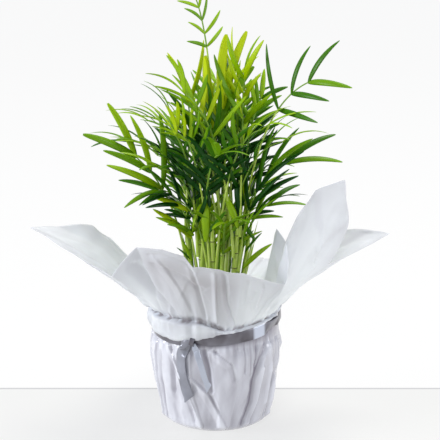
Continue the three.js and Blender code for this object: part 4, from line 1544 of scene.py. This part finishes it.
class Kind(Ordered):
    """The four kinds of frond, lowest first, each with how far it turns from its stem's azimuth."""

    LOW = ("low", 0.0, "frond_old", (Shade.MID, Shade.FRESH, Shade.DEEP, Shade.FRESH), 0.69)
    SIDE = ("side", 58.0, "frond_old", (Shade.MID, Shade.FRESH, Shade.FRESH, Shade.MID), 0.66)
    UPPER = ("upper", -58.0, "frond_mid", (Shade.FRESH, Shade.YOUNG, Shade.MID, Shade.DEEP), 0.64)
    HEART = ("heart", 10.0, "frond_young", (Shade.LIME, Shade.YOUNG, Shade.LIME, Shade.YOUNG), 0.74)

    def __init__(
        self, label: str, turn: float, slot: str, shades: tuple[Shade, ...], slim: float
    ) -> None:
        """Keeps the kind's own values; slim is its leaflets' width as a share of the solids' one."""
        self.label, self.turn, self.slot, self.shades, self.slim = label, turn, slot, shades, slim


@dataclass
class Sizes:
    """A frond's sizes: where its midrib ends, how it bows, and its leaflets."""

    seat: float
    reach: float
    height: float
    bow: float
    blade: float
    pairs: int
    leaf: float
    width: float
    spread: float
    azimuth: float = 0.0
    roll: float = 0.0


@dataclass
class Frond:
    """One frond in its own place, with its midrib."""

    kind: Kind
    stem: int
    sizes: Sizes
    dice: Dice
    rib: Bend | None = None
    azimuth: float = 0.0
    pairs: Array | None = None

    def frame(self, t: Any) -> tuple[Array, Array, Array]:
        """The blade's own directions.

        Args:
            t: Values of the midrib's own parameter.

        Returns:
            The directions along the blade, across it and square to it.
        """
        along = self.rib.tangent(t)
        a = math.radians(self.azimuth)
        level = np.array([-math.sin(a), math.cos(a), 0.0])
        across = turned(level, along, math.radians(self.sizes.roll))
        return along, across, np.cross(along, across)


@dataclass(frozen=True)
class Leaflet:
    """One leaflet: where it stands, its directions and its sizes."""

    root: Array
    along: Array
    face: Array
    side: int
    length: float
    width: float
    arch: float
    twist: float
    droop: float


@dataclass
class Foliage:
    """All fronds, settled clear of one another by the solids' own rule."""

    clump: Clump
    kinds: dict[Kind, Sizes] = field(default_factory=lambda: {
        Kind.LOW: Sizes(0.3, 50, 236, 1, 50, 3, 50, 7, 50),
        Kind.SIDE: Sizes(0.5, 72, 282, 0.96, 70, 4, 62, 8, 52),
        Kind.UPPER: Sizes(0.7, 56, 320, 0.84, 74, 4, 56, 7, 58),
        Kind.HEART: Sizes(0.9, 32, 316, 0.4, 34, 1, 84, 8, 28),
    })
    # The outermost fronds, each by its stem's number, with what is set in place of what is drawn.
    leader_sizes: tuple[str, ...] = (
        "azimuth", "reach", "height", "bow", "blade", "pairs",
        "leaf", "width", "spread", "roll", "seat")
    leaders: dict[tuple[int, Kind], tuple[float | None, ...]] = field(default_factory=lambda: {
        (1, Kind.UPPER): (178, 30, 440, 0.98, 66, 5, 32, 6, 56, -40),
        (3, Kind.HEART): (-135, 26, 310, 0.5, 34, 2, 92, 9, 28),
        (5, Kind.HEART): (-60, 12, 322, 0.5, 24, 1, 104, 12, 15),
        (5, Kind.LOW): (196, 60, 240, 1.04, 60, 4, 54, 7, None, -45),
        (6, Kind.SIDE): (12, 50, 326, 0.86, 86, 6, 40, 7, 64, 50),
        (6, Kind.UPPER): (-6, 97, 352, 0.84, 44, 2, 66, 9, 52, 62),
        (9, Kind.UPPER): (10, 28, 350, 0.72, 52, 2, 66, 9, 46, 64),
        (10, Kind.LOW): (150, 46, 228, None, None, None, None, None, None, -25, 0.2),
        (10, Kind.SIDE): (184, 80, 272, 0.7, 44, 2, 84, 10.5, 30, -60),
        (10, Kind.UPPER): (172, 62, 300, 0.92, 76, 5, 54, 7, 50, -45),
        (11, Kind.LOW): (-24, 52, 222, 0.94, 50, None, None, 8, 36, 30),
        (11, Kind.SIDE): (-10, 68, 266, 0.9, 60, 3, 74, 9.5, 26, 45),
    })
    loose_azimuth: float = 14.0
    loose_reach: float = 0.16
    loose_height: float = 28.0
    loose_leaf: float = 0.12
    loose_roll: float = 16.0
    loose_aim: float = 6.0
    lift: float = 14.0  # degrees by which leaflets rise from the blade
    loose_lift: float = 10.0
    loose_length: float = 0.08
    narrowing: float = 0.55  # the last pair's spread as a share of the first one's
    shortest: float = 0.78  # the end pairs' length as a share of the middle ones'
    last_width: float = 1.12  # the last pair's width as a share of the others'
    arch: Pair = (0.035, 0.03)  # as a share of the length, and how much more at most
    twist: float = 16.0
    droop: Pair = (0.03, 0.05)
    rib_foot: float = 1.4
    rib_tip: float = 0.7
    rib_swell: Pair = (1.35, 0.35)  # how thick the stalk's foot is, and up to where
    rib_rows: int = 16  # rings of the stalk, and of the midrib
    rib_flat: float = 0.86
    rib_sides: int = 8
    stalk_steps: int = 5
    lean: float = 0.2
    clearance: float = 0.6
    gap: float = 0.3
    root_width: float = 2.6
    turns: tuple[int, ...] = (
        0, -4, 4, -8, 8, -12, 12, -17, 17, -22, 22, -28, 28, -35, 35, -42, 42, -50, 50, -58, 58, -66, 66)
    climbs: tuple[float, ...] = (0, 0.06, -0.06, 0.12, -0.12)
    between_share: float = 0.15  # how many of the gaps between pairs carry a further leaflet
    between_slim: float = 0.9
    between_length: Pair = (0.86, 0.1)  # of its neighbour's, and how far that varies
    between_twist: float = 18.0
    between_droop: Pair = (0.03, 0.06)
    # Each run of seeds starts here, and each frond takes one of its own.
    size_seeds: int = 100
    leaflet_seeds: int = 3000
    shade_seeds: int = 5000
    inside_painted_shade: float = 3.2  # painted shade: how many shades darker leaflets are deep in the crown
    deep: Pair = (64.0, 36.0)  # the radius at which that starts, and how far it takes
    deep_height: Pair = (248.0, 42.0)  # the height where it is greatest, and half how far
    loose_shade: float = 0.9
    mixed: Pair = (2.2, 0.34)  # how much darker some heart leaflets are, and how many
    # A leaflet's rings: places across the half width, raised by its crown and by its own thickness.
    spots: tuple[float, ...] = (1.0, 0.55, 0.0, -0.55, -1.0, -0.5, 0.0, 0.5)
    crown: tuple[float, ...] = (0.0, 0.13, 0.27, 0.13, 0.0, 0.02, 0.12, 0.02)
    skin_depth: tuple[float, ...] = (0.0, 0.12, 0.2, 0.12, 0.0, -0.12, -0.25, -0.12)
    strap: Pair = (6.2, 1.8)  # width from which lances turn to straps, over how far
    # Single leaflets low among the stems: foot x, y and z, heading, rise, roll, length, width and shade.
    sprouts: tuple[tuple[float, ...], ...] = (
        (27, -12, 159, -4, 45, 58, 40, 5.2, 2), (29, -6, 174, 4, 52, 60, 27, 2.6, 4),
        (28, -10, 181, 10, 62, 60, 20, 2.4, 3), (-24, -12, 190, 186, 42, -58, 50, 7, 1),
        (-22, -16, 194, 190, 32, -55, 44, 6, 2), (-24, -10, 166, 176, 66, -60, 24, 3.4, 2),
        (-26, -8, 167, 184, 46, -60, 19, 2.2, 4), (-17, -21, 190, -60, 74, 10, 31, 5.4, 2),
        (-11, -22, 233, -84, -72, 0, 40, 8.5, 2), (21, -20, 214, 188, -34, -52, 29, 6.4, 2),
        (18, -21, 206, 188, -38, -52, 27, 6.2, 2), (14, -22, 197, 186, -42, -52, 24, 5.6, 3),
        (8, -23, 238, -40, -58, 20, 34, 7.5, 2), (25, -17, 207, -20, -46, 40, 22, 5, 4),
        (-20, 18, 188, 120, 50, 40, 42, 6.5, 2), (22, 16, 184, 60, 46, -40, 40, 6, 3),
        (-6, 24, 196, 95, 40, 20, 38, 6, 2), (-14, -18, 251, -50, -60, 0, 27, 7, 5),
        (21, -18, 247, -70, -74, 0, 26, 9, 5), (20, -20, 227, -80, -78, 0, 22, 7, 5),
        (28, -13, 220, -6, 38, 34, 44, 6.5, 3), (29, -14, 212, -4, 18, 40, 30, 5, 5),
        (29, -12, 209, 2, 8, 40, 38, 4.5, 3), (-26, -13, 218, 184, 26, -58, 42, 6.5, 1),
        (-25, -10, 210, 182, 12, -58, 30, 4.5, 5), (-15, -21, 227, 215, -66, 0, 26, 6.5, 2),
        (29, -10, 221, -10, 76, 10, 36, 5.5, 2), (26, -13, 226, -40, 82, -20, 32, 4.5, 2),
    )
    fronds: list[Frond] = field(default_factory=list)

    def plan(self) -> None:
        """Draws each frond's own sizes."""
        for i, stem in enumerate(self.clump.stems):
            for k, (kind, base) in enumerate(self.kinds.items()):
                if kind is Kind.HEART and i % 2 == 1:
                    continue
                dice = Dice(self.seed(self.size_seeds, i, k))
                sizes = Sizes(**vars(base))
                sizes.azimuth = stem.azimuth + kind.turn + dice.swing(self.loose_azimuth)
                sizes.reach = dice.around(base.reach, self.loose_reach)
                sizes.height = base.height + dice.swing(self.loose_height)
                sizes.leaf = dice.around(base.leaf, self.loose_leaf)
                sizes.roll = dice.swing(self.loose_roll)
                for name, value in zip(self.leader_sizes, self.leaders.get((i + 1, kind), ())):
                    if value is not None:
                        setattr(sizes, name, value)
                self.fronds.append(Frond(kind, i, sizes, dice))

    @staticmethod
    def seed(run: int, stem: int, kind: int) -> int:
        """A frond's own seed in a run of them."""
        return run + 10 * stem + kind

    def curve(self, frond: Frond, turn: float, climb: float) -> Bend:
        """The midrib: up from the stem's side and over to the end of the blade.

        Args:
            frond: The frond.
            turn: Degrees by which it turns from its own azimuth.
            climb: How far its foot moves up the stem, as a share of the height.

        Returns:
            The midrib's curve.
        """
        sizes, stem = frond.sizes, self.clump.stems[frond.stem]
        azimuth, seat = sizes.azimuth + turn, sizes.seat + climb
        side = float(self.clump.radius_at(seat)) + self.gap + self.rib_foot
        start = stem.at(seat) + polar(azimuth, side, 0.0)
        end = polar(azimuth, sizes.reach, sizes.height)
        over = lerp(start, end, self.lean)
        over[2] = start[2] + sizes.bow * (end[2] - start[2])
        return Bend(start, over, end)

    def rib_radius(self, t: Any) -> Any:
        """The midrib's radius at shares of its length."""
        return lerp(self.rib_foot, self.rib_tip, t)

    def stations(self, frond: Frond, rib: Bend) -> Arrays:
        """Places on the midrib, as shares of its length.

        Args:
            frond: The frond.
            rib: Its midrib.

        Returns:
            Where its pairs of leaflets stand, and where its line is measured.
        """
        sizes, length = frond.sizes, rib.lengths[-1]
        first = 1 - sizes.blade / length
        half = self.root_width / 2 / length
        pairs = lerp(first, 1 - half, np.arange(sizes.pairs + 1) / sizes.pairs)
        stalk = (first - 2 * half) * np.arange(self.stalk_steps) / self.stalk_steps
        windows = np.stack([pairs - half, np.minimum(1, pairs + half)], axis=1).ravel()
        return pairs, np.concatenate([stalk, windows])

    @staticmethod
    def room(a: Array, radius_a: Array, b: Array, radius_b: Array) -> float:
        """The least clearance between two sets of straight pieces.

        Args:
            a: The first set, each piece a row of two ends.
            radius_a: Its pieces' radii.
            b: The second set.
            radius_b: Its pieces' radii.

        Returns:
            The clearance, below nothing where two pieces overlap.
        """
        run_a, run_b = (a[:, 1] - a[:, 0])[:, None], (b[:, 1] - b[:, 0])[None]
        apart = a[:, None, 0] - b[None, :, 0]
        aa, bb, ab = ((p * q).sum(-1) for p, q in ((run_a, run_a), (run_b, run_b), (run_a, run_b)))
        ca, cb = (run_a * apart).sum(-1), (run_b * apart).sum(-1)
        slant = aa * bb - ab * ab
        level = slant <= 1e-9
        on_a = np.where(level, 0.0, np.clip((ab * cb - ca * bb) / np.where(level, 1.0, slant), 0, 1))
        on_b = (ab * on_a + cb) / bb
        off = (on_b < 0) | (on_b > 1)
        on_b = np.clip(on_b, 0, 1)
        on_a = np.where(off, np.clip((on_b * ab - ca) / aa, 0, 1), on_a)
        distance = np.linalg.norm(apart + run_a * on_a[..., None] - run_b * on_b[..., None], axis=-1)
        return float((distance - radius_a[:, None] - radius_b[None, :]).min())

    @staticmethod
    def straights(line: Array) -> Array:
        """A line's straight pieces, each a row of two ends."""
        return np.stack([line[:-1], line[1:]], axis=1)

    def settle(self) -> None:
        """Turns each frond, and moves its foot, until its midrib is clear of all others."""
        shares = np.array(self.clump.rows)
        radii = self.clump.radius_at(shares[:-1])
        stems = [(self.straights(stem.at(shares)), radii) for stem in self.clump.stems]
        done: list[tuple[Array, Array]] = []
        for frond in self.fronds:
            others = [piece for i, piece in enumerate(stems) if i != frond.stem] + done
            pieces, radii = (np.concatenate(values) for values in zip(*others))
            best = -math.inf
            for climb, turn in ((c, t) for c in self.climbs for t in self.turns):
                rib = self.curve(frond, turn, climb)
                pairs, stations = self.stations(frond, rib)
                mine = self.straights(rib.at(stations)), self.rib_radius(stations[:-1])
                room = min(self.room(*mine, pieces, radii),
                           self.room(mine[0][1:], mine[1][1:], *stems[frond.stem]))
                if room > best:
                    best, kept = room, mine
                    frond.rib, frond.azimuth, frond.pairs = rib, frond.sizes.azimuth + turn, pairs
                if room > self.clearance:
                    break
            done.append(kept)

    def leaflets(self, frond: Frond) -> list[Leaflet]:
        """Draws the frond's leaflets by the solids' rule, with further ones between the pairs.

        Args:
            frond: The settled frond.

        Returns:
            The leaflets.
        """
        sizes, dice = frond.sizes, frond.dice
        fine = Dice(self.seed(self.leaflet_seeds, frond.stem, frond.kind.order()))
        found = []
        for pair, at in enumerate(frond.pairs):
            share = pair / sizes.pairs
            for side in (1, -1):
                along, across, face = frond.frame(at)
                spread = sizes.spread * lerp(1, self.narrowing, share)
                out = math.radians(spread + dice.swing(self.loose_aim))
                lift = math.radians(self.lift + dice.swing(self.loose_lift))
                swell = math.sin(math.pi * min(1, (pair + 1) / sizes.pairs))
                heading = along * math.cos(out) + across * side * math.sin(out)
                length = sizes.leaf * lerp(self.shortest, 1, swell) * dice.around(1, self.loose_length)
                arch = sizes.leaf * dice.above(*self.arch)
                width = sizes.width * (self.last_width if pair == sizes.pairs else 1) * frond.kind.slim
                pointing = unit(heading + face * math.sin(lift))
                found.append(Leaflet(frond.rib.at(at), pointing, face, side, length, width, arch,
                                     fine.swing(self.twist), fine.above(*self.droop)))
                # The heart's own leaflets never have others between them.
                between = pair < sizes.pairs and fine.next() < self.between_share
                if between and frond.kind is not Kind.HEART:
                    step = (frond.pairs[1] - frond.pairs[0]) * (0.5 + fine.swing(0.15))
                    more = turned(pointing, face, math.radians(fine.swing(9)))
                    more = unit(more + face * fine.swing(0.16))
                    found.append(Leaflet(
                        frond.rib.at(at + step), more, face, side, length * fine.around(*self.between_length),
                        width * self.between_slim, arch, fine.swing(self.between_twist),
                        fine.above(*self.between_droop)))
        return found

    def sprout(self, skin: Skin, row: Sequence[float]) -> None:
        """Adds one single leaflet among the stems.

        Args:
            skin: The mesh to add it to.
            row: Its foot's three coordinates, heading, rise, roll, length, width and shade.
        """
        *foot, heading, rise, roll, length, width, shade = row
        level, lift = polar(heading, 1.0, 0.0), math.radians(rise)
        along = level * math.cos(lift) + UP * math.sin(lift)
        face = turned(UP * math.cos(lift) - level * math.sin(lift), along, math.radians(roll))
        leaflet = Leaflet(np.array(foot), along, face, 1, length, width, 0.05 * length, 12, 0.06)
        self.blade(skin, leaflet, int(shade))

    def blade(self, skin: Skin, leaflet: Leaflet, kind: int) -> None:
        """Adds one leaflet: lance-shaped, raised along its middle, arched and softly twisted.

        Args:
            skin: The mesh to add it to.
            leaflet: Its place, directions and sizes.
            kind: Which of the mesh's materials it takes.
        """
        along = leaflet.along
        across = unit(np.cross(leaflet.face, along)) * leaflet.side
        up = np.cross(along, across) * leaflet.side
        t = np.concatenate([np.linspace(0, 0.9, 11), [0.96, 1.0]])
        least, more = self.strap
        blunt = smooth((leaflet.width - least) / more)
        half = (t + 0.03) ** lerp(0.45, 0.34, blunt) * (1.01 - t) ** lerp(0.62, 0.4, blunt)
        half = np.maximum(half / half.max() * leaflet.width / 2, 0.05)
        # The arch is highest a little before the middle, and ends below where it began.
        rise = leaflet.arch * (4.54 * t - 5.14 * t * t)
        path = leaflet.root + np.outer(t * leaflet.length, along) + np.outer(rise, up)
        path[:, 2] -= leaflet.droop * leaflet.length * t**2.5
        twist = np.radians(leaflet.twist) * t
        sides = np.outer(np.cos(twist), across) + np.outer(np.sin(twist), up)
        ups = np.outer(np.cos(twist), up) - np.outer(np.sin(twist), across)
        spots, crown, skin_depth = (np.array(values)[None, :] for values in
                                    (self.spots, self.crown, self.skin_depth))
        fade = smooth((1 - t) * 5)[:, None]
        half = half[:, None]
        lifts = crown * half + skin_depth * fade
        rings = path[:, None] + sides[:, None] * (half * spots)[..., None] + ups[:, None] * lifts[..., None]
        place = together(half * spots, (t * leaflet.length)[:, None])
        if leaflet.side > 0:
            rings, place = rings[:, ::-1], place[:, ::-1]
        skin.tube(rings, kind, place)

    def midrib(self, skin: Skin, frond: Frond) -> None:
        """Adds the stalk, clasping its stem at the foot, and the midrib to the end of the blade.

        Args:
            skin: The mesh to add it to.
            frond: The settled frond.
        """
        first, count = float(frond.pairs[0]), self.rib_rows
        t = np.concatenate([np.linspace(0, first, count), np.linspace(first, 1, count + 1)[1:]])
        path = frond.rib.at(t)
        _, across, face = frond.frame(t)
        thick, upto = self.rib_swell
        radius = self.rib_radius(t) * lerp(1.0, thick, 1 - smooth(t / upto))
        radius[-1] *= 0.4
        shape = circle(self.rib_sides) * np.array([1.0, self.rib_flat])
        rings = across[:, None] * shape[:, :1] + face[:, None] * shape[:, 1:]
        rings = path[:, None] + rings * radius[:, None, None]
        skin.grid(rings[:count], 0, around=True)
        skin.grid(rings[count - 1 :], 1, around=True)
        skin.grid(np.stack([rings[-1], np.repeat(path[-1:], self.rib_sides, axis=0)]), 1, around=True)

    def shade(self, frond: Frond, leaflet: Leaflet, main: int, dice: Dice) -> int:
        """Which shade a leaflet has: darker deep in the crown as painted shade, and never lighter than its
        kind's.

        Args:
            frond: The leaflet's frond.
            leaflet: The leaflet.
            main: The frond's own shade.
            dice: Gives the chance part.

        Returns:
            The shade's place in their order.
        """
        radius, height = float(np.hypot(*leaflet.root[:2])), float(leaflet.root[2])
        inner = smooth((self.deep[0] - radius) / self.deep[1])
        middle = math.exp(-(((height - self.deep_height[0]) / self.deep_height[1]) ** 4))
        more, share = self.mixed
        mixed = more if frond.kind is Kind.HEART and dice.next() < share else 0.0
        # Painted shade: leaflets deep in the crown at mid height take darker shades.
        shift = round(self.inside_painted_shade * inner * middle + dice.swing(self.loose_shade) - 0.1 + mixed)
        lightest = min(shade.order() for shade in frond.kind.shades)
        return min(max(main + shift, lightest), len(Shade) - 1)

    def build(self) -> list[Piece]:
        """Makes leaflets and midribs, each kind of frond joined in pieces of its own.

        Returns:
            The new pieces.
        """
        self.plan()
        self.settle()
        pieces = []
        for kind in Kind:
            blades, ribs = Skin(), Skin()
            mine = [frond for frond in self.fronds if frond.kind is kind]
            for frond in mine:
                dice = Dice(self.seed(self.shade_seeds, frond.stem, kind.order()))
                main = kind.shades[int(dice.next() * len(kind.shades)) % len(kind.shades)].order()
                for leaflet in self.leaflets(frond):
                    self.blade(blades, leaflet, self.shade(frond, leaflet, main, dice))
                self.midrib(ribs, frond)
            for row in self.sprouts if kind is Kind.LOW else ():
                self.sprout(blades, row)
            names = [f"frond_{kind.label}_{frond.stem + 1}" for frond in mine]
            leaves = blades.write(f"leaflets_{kind.label}", [shade.value.make() for shade in Shade])
            stalks = ribs.write(f"midribs_{kind.label}", [STALK.make(), MIDRIB.make()])
            for piece in (leaves, stalks):
                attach(piece, "root")
                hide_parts(*names)
                pieces.append(piece)
        return pieces


# ---- studio


@dataclass(frozen=True)
class Lamp:
    """One soft square light."""

    name: str
    place: tuple[float, float, float]
    size: float
    power: float
    colour: str


@dataclass
class Studio:
    """A plain pale table before a white ground, soft light from above, and the camera, in metres."""

    target: tuple[float, float, float] = (0.004, 0.0, 0.2055)
    elevation: float = 15.0
    distance: float = 1.6
    lens: float = 130.9  # millimetres, as the sensor's width is
    sensor: float = 36.0
    table_front: float = -6.0
    table_back: float = 0.0696
    table_edge_shade: float = 0.004  # the strip along the rounded back edge, darker as painted shade
    ground_back: float = 9.0
    half_width: float = 9.0
    table_glow: float = 0.655
    edge_shade_glow: float = 0.8  # of the table's own, lower for the painted shade
    ground_glow: float = 0.9
    sky: str = "f0f5fc"
    sky_strength: float = 0.4
    lamps: tuple[Lamp, ...] = (
        Lamp("key", (0.3, 0.5, 1.9), 0.9, 24.0, "fffdf6"),
        Lamp("left", (-1.6, -0.4, 0.6), 0.6, 17.0, "f6f9ff"),
        Lamp("right", (1.9, -0.5, 0.8), 0.6, 14.0, "f8faff"),
        Lamp("front", (-0.4, -2.0, 1.4), 0.7, 12.0, "f8faff"),
    )

    def ground(self) -> None:
        """Lays the table, and the white ground behind it at the same level."""
        lip = self.table_back - self.table_edge_shade
        for name, low, high, finish, glow in (
            ("table", self.table_front, lip, TABLE, self.table_glow),
            ("table_edge_shade", lip, self.table_back, EDGE_SHADE, self.edge_shade_glow * self.table_glow),
            ("ground", self.table_back, self.ground_back, GROUND, self.ground_glow)):
            material = finish.make()
            shader = next(node for node in material.node_tree.nodes if node.type == "BSDF_PRINCIPLED")
            shader.inputs["Emission Color"].default_value = linear("ffffff")
            shader.inputs["Emission Strength"].default_value = glow
            # A wide even glow is found without being aimed at.
            material.cycles.emission_sampling = "NONE"
            skin = Skin()
            corners = [[[-self.half_width, y, 0], [self.half_width, y, 0]] for y in (low, high)]
            skin.grid(np.array(corners) / MM)
            piece = skin.write(name, [material])

    def light(self, lamp: Lamp) -> None:
        """Sets up one light, aimed at the plant.

        Args:
            lamp: Its place, size, power and colour.
        """
        data = bpy.data.lights.new(lamp.name, "AREA")
        data.size = lamp.size
        data.energy = lamp.power
        data.color = linear(lamp.colour)[:3]
        light = bpy.data.objects.new(lamp.name, data)
        light.location = lamp.place
        aim = Vector(self.target) - Vector(lamp.place)
        light.rotation_euler = aim.to_track_quat("-Z", "Y").to_euler()
        bpy.context.scene.collection.objects.link(light)

    def camera(self) -> None:
        """Sets up the camera, a little above the plant and looking down at it."""
        data = bpy.data.cameras.new("camera")
        data.lens = self.lens
        data.sensor_width = self.sensor
        camera = bpy.data.objects.new("camera", data)
        e = math.radians(self.elevation)
        camera.location = Vector(self.target) + self.distance * Vector((0, -math.cos(e), math.sin(e)))
        camera.rotation_euler = (math.radians(90 - self.elevation), 0.0, 0.0)
        bpy.context.scene.collection.objects.link(camera)
        bpy.context.scene.camera = camera

    def build(self) -> None:
        """Sets up ground, lights, sky and camera."""
        self.ground()
        for lamp in self.lamps:
            self.light(lamp)
        world = bpy.data.worlds.new("sky")
        world.use_nodes = True
        background = world.node_tree.nodes["Background"]
        background.inputs["Color"].default_value = linear(self.sky)
        background.inputs["Strength"].default_value = self.sky_strength
        bpy.context.scene.world = world
        bpy.context.scene.view_settings.view_transform = "Standard"
        self.camera()


def main() -> None:
    """Builds the plant from the pot up, and reports each piece."""
    logging.basicConfig(level=logging.INFO, format="%(name)s: %(message)s")
    Studio().build()
    pot, wrap, clump = Pot(), Wrap(), Clump()
    clump.plan()
    pieces = [pot.build(), Soil().build(pot), *wrap.build(), *Ribbon(wrap).build(), clump.build()]
    pieces += Foliage(clump).build()
    for piece in pieces:
        LOG.info("%s: %d faces", piece.name, len(piece.data.polygons))
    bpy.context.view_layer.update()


if __name__ == "__main__":
    main()
